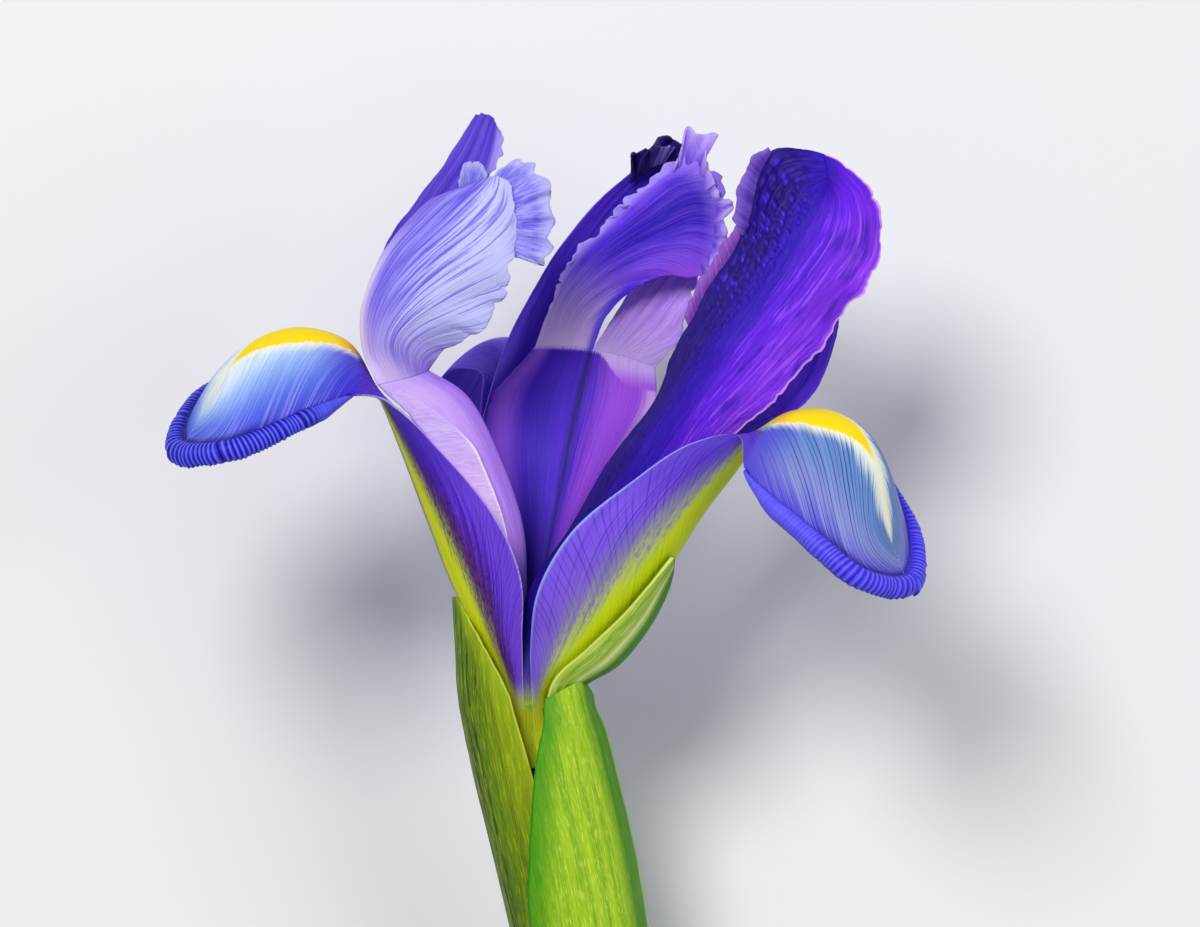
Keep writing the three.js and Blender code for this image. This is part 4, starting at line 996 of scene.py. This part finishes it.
def fall(name, stations, bend_station, top_side, rows, seed, rim_size, floor_gap=None):
    """A fall from stations, with its haft up to the bend station and a rim that rolls to its top side.

    Rim size gives places along the blade, 0 to 1, then the rim's radius there in millimetres on the
    first and last side, and how strongly it is ribbed on each."""
    petal = Petal(stations, True)
    bend = bend_station / (len(stations) - 1)
    haft_rows = int(rows * HAFT_ROWS)
    along = np.concatenate([
        np.linspace(0, bend, haft_rows, endpoint=False),
        np.linspace(bend, 1, rows - haft_rows),
    ])
    blade = (along - bend) / (1 - bend)
    across = np.linspace(-1, 1, FALL_COLUMNS)
    points = petal.points(along, across)
    haft_wave = swell(-blade, 0.0, 0.4) * swell(along, 0.04, 0.2)
    places, near_radius, far_radius, near_ribs, far_ribs = np.transpose(rim_size)
    place_steps = np.interp(blade, places, np.linspace(0, 1, len(places)))
    rim_steps = np.linspace(0, 1, RIM_COLUMNS + 1)[1:]
    bands = {}
    for side, radii, ribs in ((-1, near_radius, near_ribs), (1, far_radius, far_ribs)):
        margin, outward, normal = petal.edge(along, side)
        gone = travelled(margin)
        here = np.clip(across * side, 0, 1)[None, :]
        ripple = (ragged(gone, 2.4, seed + 40 + side) * 0.12 * haft_wave)[:, None]
        points += normal[:, None] * (ripple * here ** 5)[..., None]
        radius = smooth_curve(np.column_stack([places, radii]), place_steps)
        radius = np.maximum(radius[:, 1:], 0) * (blade > 0.0)[:, None]
        ribbed = np.interp(blade, places, ribs)[:, None]
        # The ribs stand a pitch apart, but not evenly, and lean a little on their way round the roll.
        jitter = ragged(gone, 1.4, seed + side) * 0.7
        drift = ragged(gone, 3.1, seed + 3)[:, None] * 0.3
        phase = (gone / RIB_PITCH + jitter)[:, None] + rim_steps[None, :] * 0.7 + drift
        ridge = np.abs(np.cos(math.pi * phase)) ** 1.5
        strength = 0.65 + 0.35 * ragged(gone, RIB_PITCH, seed + 12 + side)[:, None]
        lumps = ragged(gone, 2.6, seed + 22 + side)[:, None] * 0.07
        swollen = radius * (0.95 + lumps + (0.12 * ridge * strength * ribbed))
        turn = RIM_ROLL * rim_steps[None, :]
        band = ((margin + normal * ripple)[:, None]
                + outward[:, None] * (swollen * (1 - np.cos(turn)))[..., None]
                + normal[:, None] * (top_side * swollen * np.sin(turn) * 1.15)[..., None])
        rolled = np.broadcast_to(rim_steps[None, :], phase.shape) * swell(radius, 0.02, 0.25)
        bands[side] = (band, rolled, phase, np.broadcast_to(ribbed, phase.shape))
    inwards = slice(None, None, -1)
    left, right = bands[-1], bands[1]
    flat = np.zeros((len(along), len(across)))
    points, rolled, phase, ribbed = (
        np.concatenate([left[part][:, inwards], middle, right[part]], axis=1)
        for part, middle in enumerate((points, flat, flat, flat)))
    marks = {
        "blade": blade[:, None], "height": points[..., 1], "rim": rolled, "rib": phase, "ribbed": ribbed,
        "across": np.concatenate([np.full(RIM_COLUMNS, -1), across, np.full(RIM_COLUMNS, 1)])[None, :],
    }
    return grown_piece(name, [(points, marks)], FALL_WALL, floor_gap)


def fall_tissue(
        name, haft, ground, rim, signal_end, signal_width, slant, veins, signal_start=(-0.1, -0.04)):
    """Petal tissue with its markings, from the keel's green and the signal's yellow to the rim.

    Haft gives the colours of its keel, of the streaked zone beside it and of the dots there, how far the
    dots reach, the colours of its side, of the flesh near its margin and of the margin, and how wide
    the keel's zone is at the tube and at the bend. Ground gives the blade's four colours from its ridge
    to its rim, and then the colour and strength of its streaks and of what lies between them. Rim gives
    the colours of the painted shade in its grooves, of its flanks and of the painted highlight on its
    ridges. The signal's places are shares of the
    blade's length and width. Slant is the height over which a streak crosses half the haft. Veins gives
    how far the blade's veins lean and curve, how many there are, their colour, their strength and how
    far the pale zone beside the ridge reaches."""
    keel, streaked, dots, dots_reach, side, flesh, margin, wide_below, wide_above = haft
    white, sky, lilac, deep, veined, veined_share, between, between_share = ground
    groove_shade_colour, rim_colour, ridge_highlight_colour = rim
    lean, curve, count, thread_colour, thread_share, pale_reach = veins
    tissue = PetalTissue(name)
    blade, across, height = tissue.marks("blade", "across", "height")
    rolled, rib, ribbed = tissue.marks("rim", "rib", "ribbed")
    out = abs(across)
    fan = blade - out * lean - out * out * curve
    half_seed = across.ramp(-0.05, 0.05) * 3
    broad = tissue.streaks(fan * 16, out, half_seed, 0.8, 3)
    fine = tissue.streaks(fan * 60, out, half_seed + 5, 0.9, 3)
    threads = tissue.threads(fan * count, out, half_seed + 20)
    edge = out + (fine - 0.5) * 0.1 + (broad - 0.5) * 0.12
    streaked_by = fine * 0.6 + broad * 0.4
    started = blade.ramp(*signal_start)
    half = blade.ramp(signal_end, signal_end * 0.3) * started * signal_width + 0.015
    band = out + (fine - 0.5) * 0.045 - half
    streak = band.ramp(0.16, -0.02) * blade.ramp(1.0, 0.9) * started
    yellow = tissue.mix("FFA800", "FFDC00", blade.ramp(-0.04, 0.1))
    lit = band.ramp(0.02, -0.012) * blade.ramp(signal_end, signal_end * 0.8) * started
    # The blade: its ground, its veins, a dark start, painted shadow in the groove beside the rim, and the cream
    # edged signal.
    blade_part = tissue.coats(
        white,
        (sky, edge.ramp(0.24 * pale_reach, 0.56 * pale_reach)),
        (lilac, edge.ramp(0.46, 0.84)),
        (deep, edge.ramp(0.76, 1.06)),
        (veined, streaked_by.ramp(0.45, 0.85) * veined_share),
        (between, streaked_by.ramp(0.45, 0.15) * between_share),
        (thread_colour, threads * out.ramp(0.04, 0.3) * thread_share),
        (deep, blade.ramp(0.28, 0.0) * out.ramp(0.15, 0.5) * 0.85),
        # Painted shadow in the groove inside the roll, beside the rim.
        ("141060", (out + fine * 0.03).ramp(0.93, 1.0) * blade.ramp(0.4, 0.7) * 0.7),
        ("F6F4D8", streak * 0.9),
        (yellow, lit),
    )
    oblique = out - height / slant
    haft_fine = tissue.streaks(oblique * 52, out * 1.2, 11, 1, 3)
    haft_broad = tissue.streaks(oblique * 14, out * 1.2, 15, 1, 3)
    haft_threads = tissue.threads((out - height / 20) * 23, height * 0.08, 17)
    mottle = tissue.noise(tissue.point(oblique * 44, height * 1.1, 23), 3, 0.6).ramp(0.54, 0.4)
    widening = height.ramp(34, 0) * (wide_below - wide_above) + wide_above
    haft_edge = out + (haft_fine - 0.5) * 0.05 + (haft_broad - 0.5) * 0.08 - widening
    pale = (out - 0.8 + haft_fine * 0.4 + haft_broad * 0.15).ramp(0.0, 0.35)
    speckled = haft_fine.ramp(0.5, 0.0) * 0.3 + haft_threads * 0.5
    dotted = haft_edge.ramp(-0.16, 0.02) * haft_edge.ramp(dots_reach, dots_reach * 0.25)
    # The haft: keel, streaked zone and side, paler flesh, a dark bend, veins, dots, margin, yellow foot.
    haft_part = tissue.coats(
        keel,
        (streaked, haft_edge.ramp(-0.22, 0.18)),
        (side, haft_edge.ramp(dots_reach * 0.25, dots_reach * 0.25 + 0.34)),
        (flesh, pale * 0.75),
        ("3C22B0", height.ramp(22, 31) * haft_edge.ramp(0.0, 0.2) * 0.6),
        ("2C1490", speckled * haft_edge.ramp(-0.1, 0.14)),
        (dots, mottle * dotted * 0.75),
        (margin, out.ramp(0.975, 1.0)),
        ("CCD420", (height + haft_fine * 3).ramp(3.5, -0.5)),
    )
    ridge = abs((rib * math.pi).math("COSINE"))
    # Painted shade in the grooves between the ribs and painted highlights on the ribs' crests.
    ribbed_rim = tissue.coats(
        groove_shade_colour,
        (rim_colour, ridge.ramp(0.15, 0.75)),
        (ridge_highlight_colour, ridge.ramp(0.86, 1.0) * 0.75),
    )
    plain_rim = tissue.mix(rim_colour, ridge_highlight_colour, fine * 0.35 + 0.3)
    rim_part = tissue.mix(plain_rim, ribbed_rim, ribbed.ramp(0.0, 0.5))
    base = tissue.coats(
        haft_part,
        (blade_part, (blade + (fine - 0.5) * 0.04).ramp(-0.1, 0.02)),
        (rim_part, rolled.ramp(0.0, 0.1)),
        # Painted shadow in the crease where the rim rolls up from the blade.
        (groove_shade_colour, rolled.ramp(0.0, 0.06) * rolled.ramp(0.3, 0.1) * 0.6),
    )
    return tissue, base, broad * 0.4 + fine * 0.6


left_fall = fall(
    "fall_left_finished",
    [
        [[0.4, -9, 2.9], [-1.5, -9, 2.2], [-2.1, -9, -0.4]],
        [[-0.5, 0, 2.6], [-2.3, 0, 1.5], [-2.6, 0, -0.5]],
        [[-0.7, 7, 4.2], [-5.4, 7, 2.7], [-5.2, 8, -0.6]],
        [[-0.8, 14.5, 6.6], [-8.6, 14, 4.2], [-8.2, 14.5, -1.4]],
        [[-3.8, 22, 8.6], [-12.0, 22.5, 6.0], [-11.0, 22.5, -1.0]],
        [[-11.2, 31, 9.8], [-15.5, 31, 7.4], [-14.6, 30, 0.6]],
        [[-17.3, 36.7, 11.8], [-18.9, 38.4, 8.2], [-18.4, 37, 2.6]],
        [[-21.6, 37.4, 15.2], [-22.2, 44.0, 9.8], [-23.5, 39.5, 1.6]],
        [[-26.6, 36.0, 18.6], [-28.3, 45.7, 12.6], [-30.4, 40.2, 3.6]],
        [[-31.6, 33.8, 20.8], [-33.8, 43.6, 15.2], [-36.2, 39.8, 6.6]],
        [[-36.8, 31.8, 22.2], [-37.8, 39.4, 17.6], [-40.4, 37.2, 11.2]],
        [[-42.0, 31.8, 18.0], [-39.8, 35.6, 18.4], [-42.0, 31.8, 18.0]],
    ],
    bend_station=7, top_side=1, rows=450, seed=11,
    rim_size=[
        [0.0, 0.0, 0.3, 0, 0], [0.1, 0.55, 0.6, 0, 0.5], [0.22, 1.05, 0.9, 0.1, 1],
        [0.45, 1.1, 1.1, 1, 1], [0.75, 1.4, 1.3, 1, 1], [1.0, 1.45, 1.45, 1, 1],
    ],
)
tissue, base, relief = fall_tissue(
    "left fall",
    haft=("D4E010", "5C2C6C", "2A0C50", 0.5, "4A1AC4", "7E50E4", "B8A0F4", 0.4, 0.18),
    ground=("E0F0FA", "9CC0F4", "5470E4", "3A24CC", "D0E0FC", 0.3, "2A34C0", 0.3),
    # Rim: painted shade in the grooves, the flank colour and the painted highlight on the ridges.
    rim=("0A0668", "2C26D0", "7074F4"), signal_end=0.72, signal_width=0.34, slant=44,
    veins=(0.5, 0, 46, "2C38C4", 0.5, 1.0),
)
tissue.use(left_fall, base, bump=relief, depth=0.0001)
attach(left_fall, "root")
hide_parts("fall_left")

right_fall = fall(
    "fall_right_finished",
    [
        [[1.2, -9, 2.9], [3.6, -9, 2.2], [4.2, -9, -0.4]],
        [[0.5, 0, 2.6], [2.3, 0, 1.5], [2.6, 0, -0.5]],
        [[0.4, 7.5, 4.8], [7.0, 4.4, 3.2], [5.4, 7.5, -2.2]],
        [[1.4, 13.6, 8.0], [12.2, 9.8, 5.0], [8.4, 13.0, -4.0]],
        [[5.5, 20.6, 10.2], [17.0, 16.0, 7.2], [13.0, 18.5, -4.2]],
        [[12.4, 26.4, 11.6], [21.5, 23.0, 9.2], [18.2, 24.0, -3.0]],
        [[20.2, 31.5, 12.8], [26.0, 28.8, 10.8], [24.0, 29.4, -0.4]],
        [[26.2, 32.4, 13.8], [28.8, 33.0, 11.8], [28.6, 32.4, 3.0]],
        [[27.0, 28.2, 16.6], [31.6, 34.9, 13.2], [32.6, 33.2, 4.4]],
        [[29.9, 25.4, 19.6], [36.0, 35.2, 14.9], [37.8, 32.2, 5.6]],
        [[33.6, 22.4, 22.2], [40.4, 33.0, 16.9], [42.2, 29.4, 8.0]],
        [[37.4, 19.2, 24.0], [43.0, 28.8, 18.6], [45.0, 25.8, 11.0]],
        [[41.4, 16.0, 24.4], [44.0, 23.8, 20.0], [47.0, 20.8, 14.0]],
        [[46.4, 15.4, 19.8], [44.8, 19.4, 20.6], [46.4, 15.4, 19.8]],
    ],
    bend_station=8, top_side=-1, rows=450, seed=12,
    rim_size=[
        [0.0, 0.1, 0.3, 0, 0], [0.12, 0.5, 0.6, 0, 0.5], [0.3, 1.15, 0.9, 0.05, 1],
        [0.5, 1.25, 1.05, 0.2, 1], [0.75, 1.35, 1.25, 0.5, 1], [1.0, 1.4, 1.4, 0.9, 1],
    ],
)
tissue, base, relief = fall_tissue(
    "right fall",
    haft=("CCE010", "8C84A0", "8474B0", 0.2, "5A22D4", "8A64EE", "9CB4FA", 0.68, 0.34),
    ground=("DCE8E0", "6286C4", "848CCE", "5248D0", "3858A8", 0.1, "9CAADE", 0.25),
    # Rim: painted shade in the grooves, the flank colour and the painted highlight on the ridges.
    rim=("2A1CC0", "4A3EE6", "7270F8"), signal_end=0.62, signal_width=0.25, slant=75,
    veins=(0.3, 0.32, 27, "0A1C6C", 1.0, 0.6),
)
tissue.use(right_fall, base, bump=relief, depth=0.00006)
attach(right_fall, "root")
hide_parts("fall_right")

back_fall = fall(
    "fall_back_finished",
    [
        [[1.25, 0, -1.85], [-0.15, 0, -2.2], [-1.5, 0, -1.65]],
        [[2.6, 7.5, -4.2], [-0.4, 7, -6.4], [-2.4, 7.5, -4.6]],
        [[4.4, 15, -8.0], [-0.7, 14, -11.0], [-4.4, 15, -8.2]],
        [[5.4, 23, -11.4], [-1.0, 22, -15.2], [-6.0, 23, -11.6]],
        [[5.0, 30.5, -14.4], [-1.4, 30, -18.4], [-6.6, 30, -14.6]],
        [[3.0, 37, -17.2], [-1.8, 37, -20.8], [-6.0, 36.5, -17.2]],
        [[1.4, 40.5, -20.0], [-2.3, 42, -23.0], [-6.0, 40.5, -19.8]],
        [[4.2, 41.0, -24.2], [-3.0, 45, -27.0], [-9.8, 41.0, -24.0]],
        [[6.8, 38.0, -29.2], [-2.8, 43.2, -32.4], [-12.0, 38.0, -28.8]],
        [[9.6, 32.2, -34.0], [-1.0, 36.8, -36.2], [-11.6, 32.2, -33.6]],
        [[9.4, 25.4, -35.6], [0.8, 29.4, -37.5], [-8.0, 25.8, -35.4]],
        [[1.6, 19.4, -35.2], [1.4, 23.4, -37.2], [1.6, 19.4, -35.2]],
    ],
    bend_station=7, top_side=1, rows=250, seed=13, floor_gap=FALL_WALL / 2,
    rim_size=[
        [0.0, 0, 0, 0, 0], [0.4, 0.1, 0.1, 0, 0], [0.7, 0.9, 0.9, 1, 1], [1.0, 1.2, 1.2, 1, 1],
    ],
)
tissue, base, relief = fall_tissue(
    "back fall",
    haft=("7450E4", "643CDA", "5C34D0", 0.3, "6A40DE", "7650E8", "7048DE", 0.3, 0.2),
    ground=("8A68EC", "7450E4", "6240DC", "5030CC", "4430BC", 0.25, "8A70EA", 0.3),
    # Rim: painted shade in the grooves, the flank colour and the painted highlight on the ridges.
    rim=("1C14A8", "4034E4", "6E6CF8"), signal_end=0.9, signal_width=0.26, slant=44,
    veins=(0.34, 0, 40, "3824B8", 0.4, 1.0), signal_start=(0.2, 0.5),
)
tissue.use(back_fall, base, bump=relief, depth=0.0001)
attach(back_fall, "root")
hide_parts("fall_back")


# Spathe: three leafy green bracts that sheathe the ovary from a node on the stem. The olive one stands
# behind on the left, the bright one wraps the front, and the pale valve hugs the right fall's haft.

BRACT_WALL = 0.5
BRACT_ROWS = 150
BRACT_COLUMNS = 67
VALVE_ROWS = 180
VALVE_COLUMNS = 41


def bract(name, rows, tip=None):
    """A bract from rows of height, half width, half depth and the angles where it starts and ends.

    Tip gives places to the right and how much its top is raised there, for an oblique point."""
    along = np.linspace(0, 1, BRACT_ROWS)
    index = np.arange(len(rows))
    fields = [smooth_curve(np.column_stack([index, field]), along)[:, 1] for field in np.transpose(rows)]
    level, wide, deep, start, end = (field[:, None] for field in fields)
    share = np.linspace(0, 1, BRACT_COLUMNS)[None, :]
    turn = np.radians(start + (end - start) * share)
    # Faint lengthwise ribs in two widths, as shares of the radius.
    ribs = 1 + 0.006 * np.sin(turn * 34) + 0.004 * np.sin(turn * 71)
    points = np.stack([
        lean_at(np.maximum(level, rows[0][0])) + wide * ribs * np.cos(turn),
        np.broadcast_to(level, turn.shape),
        deep * ribs * np.sin(turn),
    ], axis=2)
    if tip is not None:
        raised = np.interp(points[..., 0], *np.transpose(tip))
        points[..., 1] += raised * swell(along, 0.82, 1.0)[:, None]
    return grown_piece(name, [(points, {"height": level, "turn": turn, "share": share})], BRACT_WALL)


def leaf_finish(name, dark, light, fleck, margin, streaked, flecked, fleck_pace):
    """Waxy leaf tissue with lengthwise veins, from its colours, how strongly it is streaked dark and
    flecked pale, and how many flecks follow each other in a millimetre."""
    finish = Finish(name, {
        "Roughness": 0.42, "Specular IOR Level": 0.2, "Subsurface Weight": 0.15,
        "Subsurface Scale": 0.001, "Subsurface Radius": (0.5, 1.0, 0.2)})
    turn, height, share = finish.marks("turn", "height", "share")
    streaks = finish.noise(finish.point(turn * 9, height * 0.035), 4, 0.62)
    flecks = finish.noise(finish.point(turn * 46, height * fleck_pace, 4), 4, 0.7)
    fibres = finish.noise(finish.point(turn * 70, height * 0.12, 9), 3, 0.6)
    base = finish.coats(
        light,
        (dark, streaks.ramp(0.58, 0.38) * streaked),
        (fleck, flecks.ramp(0.48, 0.66) * flecked),
        (dark, fibres.ramp(0.48, 0.75) * 0.4),
        (margin, abs(share - 0.5).ramp(0.487, 0.497)),
    )
    return finish, base, fibres * 0.7 + streaks * 0.4, share


left_bract = bract("spathe_left_bract_finished", [
    [SHEATH_NODE, 5.15, 5.15, 95, 290],
    [-55, 5.7, 5.6, 94, 291],
    [-50, 6.4, 6.0, 92, 292],
    [-40, 7.2, 6.4, 92, 290],
    [-29, 7.8, 6.6, 92, 285],
    [-19, 8.2, 6.6, 95, 280],
    [-8, 8.6, 6.4, 100, 270],
    [0, 8.5, 6.2, 105, 250],
    [7, 8.9, 5.4, 131, 225],
    [12.4, 9.2, 4.0, 158, 188],
])
finish, base, relief, share = leaf_finish(
    "olive bract", "1A3A00", "567C02", "AEBE0A", "D4CC50", streaked=0.95, flecked=0.8, fleck_pace=0.3)
# Yellowed towards its first margin and darker past its middle.
base = finish.coats(
    base,
    ("B4CC10", share.ramp(0.26, 0.02) * 0.5),
    ("1E4E02", share.ramp(0.36, 0.6) * 0.4),
)
finish.use(left_bract, base, bump=relief, depth=0.00015)
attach(left_bract, "root")
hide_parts("spathe_left_bract")

right_bract = bract("spathe_right_bract_finished", [
    [SHEATH_NODE, 5.75, 5.75, -100, 124],
    [-55, 6.7, 6.5, -98, 125],
    [-50, 7.8, 7.2, -95, 126],
    [-40, 8.6, 7.6, -92, 126],
    [-29, 9.1, 7.8, -88, 126],
    [-19, 9.4, 7.8, -84, 112.5],
    [-8, 9.0, 7.6, -76, 93.7],
    [-3, 8.75, 7.2, -66, 80],
    [1.4, 8.15, 6.6, -52, 74.5],
], tip=[[1.5, -2.4], [2.25, -1.6], [6.3, 0.5], [7.3, -0.2], [8.3, -1.7]])
finish, base, relief, share = leaf_finish(
    "green bract", "3A8E0A", "A4CA10", "D2E45C", "3C960E", streaked=0.5, flecked=0.75, fleck_pace=0.55)
turn = finish.mark("turn")
# Greener towards its left margin and on its right flank, with a pale line down the flank.
base = finish.coats(
    base,
    ("248C00", share.ramp(0.84, 0.985) * 0.8),
    ("147600", turn.ramp(0.85, 0.48) * 0.8),
    ("CCE4A4", abs(turn).ramp(0.26, 0.16) * 0.5),
)
finish.use(right_bract, base, bump=relief, depth=0.00015)
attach(right_bract, "root")
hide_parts("spathe_right_bract")

valve = Petal([
    [[9.8, -54, 4.6], [14.8, -54, 0], [9.8, -54, -4.6]],
    [[7.2, -42, 4.8], [12.8, -42, 0], [7.2, -42, -4.8]],
    [[4.6, -29, 4.9], [11.0, -29, 0], [4.6, -29, -4.9]],
    [[2.4, -16, 4.6], [8.8, -16, 0.2], [2.4, -16, -4.4]],
    [[2.2, -6, 4.2], [7.2, -6.4, 0.6], [2.0, -5, -4.4]],
    [[3.0, 1.6, 4.8], [6.4, 0.6, 1.0], [3.2, 4.0, -4.2]],
    [[7.4, 6.0, 6.2], [11.4, 4.2, 2.6], [7.6, 7.4, -4.6]],
    [[11.8, 10.2, 7.8], [15.2, 9.0, 4.2], [12.0, 11.2, -3.0]],
    [[15.0, 13.8, 9.0], [17.3, 13.2, 6.0], [15.8, 13.8, 1.6]],
    [[18.0, 17.4, 9.2], [18.0, 15.8, 7.8], [18.0, 17.4, 9.2]],
], True)
valve_across = np.linspace(-1, 1, VALVE_COLUMNS)
valve_points = valve.points(np.linspace(0, 1, VALVE_ROWS), valve_across)
inner_valve = grown_piece("spathe_inner_valve_finished", [(valve_points, {
    "height": valve_points[..., 1],
    "turn": valve_across[None, :] * 1.6,
    "share": valve_across[None, :] / 2 + 0.5,
})], BRACT_WALL)
finish, base, relief, share = leaf_finish(
    "pale valve", "6E9E14", "B8CE3C", "E0E8A0", "D4E468", streaked=0.8, flecked=0.75, fleck_pace=0.4)
# Deep green behind its front margin, with a pale line where the green starts.
base = finish.coats(
    base,
    ("1A7A0C", share.ramp(0.2, 0.31) * 0.9),
    ("E0ECC0", abs(share - 0.19).ramp(0.04, 0.0) * 0.7),
)
finish.use(inner_valve, base, bump=relief, depth=0.00012)
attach(inner_valve, "root")
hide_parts("spathe_inner_valve")


# The studio: a plain pale floor under the flower, soft light from above on the left and a long lens
# that looks straight at the bloom's face, as the photograph was taken.

FRAME_MIDDLE = [9.0, 29.06]
CAMERA_DISTANCE = 1500
FRAME_WIDTH = 150

floor_shape = bmesh.new()
bmesh.ops.create_grid(floor_shape, x_segments=1, y_segments=1, size=4)
floor_mesh = bpy.data.meshes.new("floor")
floor_shape.to_mesh(floor_mesh)
floor_shape.free()
floor = bpy.data.objects.new("floor", floor_mesh)
bpy.context.scene.collection.objects.link(floor)
pale_floor = Finish("pale floor", {"Roughness": 0.9, "Base Color": (0.78, 0.78, 0.79, 1)})
floor.data.materials.append(pale_floor.material)


def soft_light(name, place, size, power):
    lamp = bpy.data.lights.new(name, "AREA")
    lamp.shape = "DISK"
    lamp.size = size
    lamp.energy = power
    light = bpy.data.objects.new(name, lamp)
    light.location = place
    light.rotation_euler = (Vector((0, 0.05, 0.02)) - Vector(place)).to_track_quat("-Z", "Y").to_euler()
    bpy.context.scene.collection.objects.link(light)


soft_light("key light", (-0.36, 0.36, 1.15), 0.55, 11.5)
soft_light("fill light", (0.9, -0.1, 0.95), 0.9, 5.5)
world = bpy.data.worlds.new("studio")
world.use_nodes = True
world.node_tree.nodes["Background"].inputs["Color"].default_value = (0.9, 0.93, 1, 1)
world.node_tree.nodes["Background"].inputs["Strength"].default_value = 0.27
bpy.context.scene.world = world
bpy.context.scene.view_settings.view_transform = "Standard"

lens = bpy.data.cameras.new("camera")
lens.sensor_fit = "HORIZONTAL"
lens.sensor_width = 36
lens.lens = 36 * CAMERA_DISTANCE / FRAME_WIDTH
lens.clip_end = 10
camera = bpy.data.objects.new("camera", lens)
camera.matrix_world = laid_turn.to_4x4()
camera.location = lay_down(np.array([*FRAME_MIDDLE, CAMERA_DISTANCE], float))
bpy.context.scene.collection.objects.link(camera)
bpy.context.scene.camera = camera
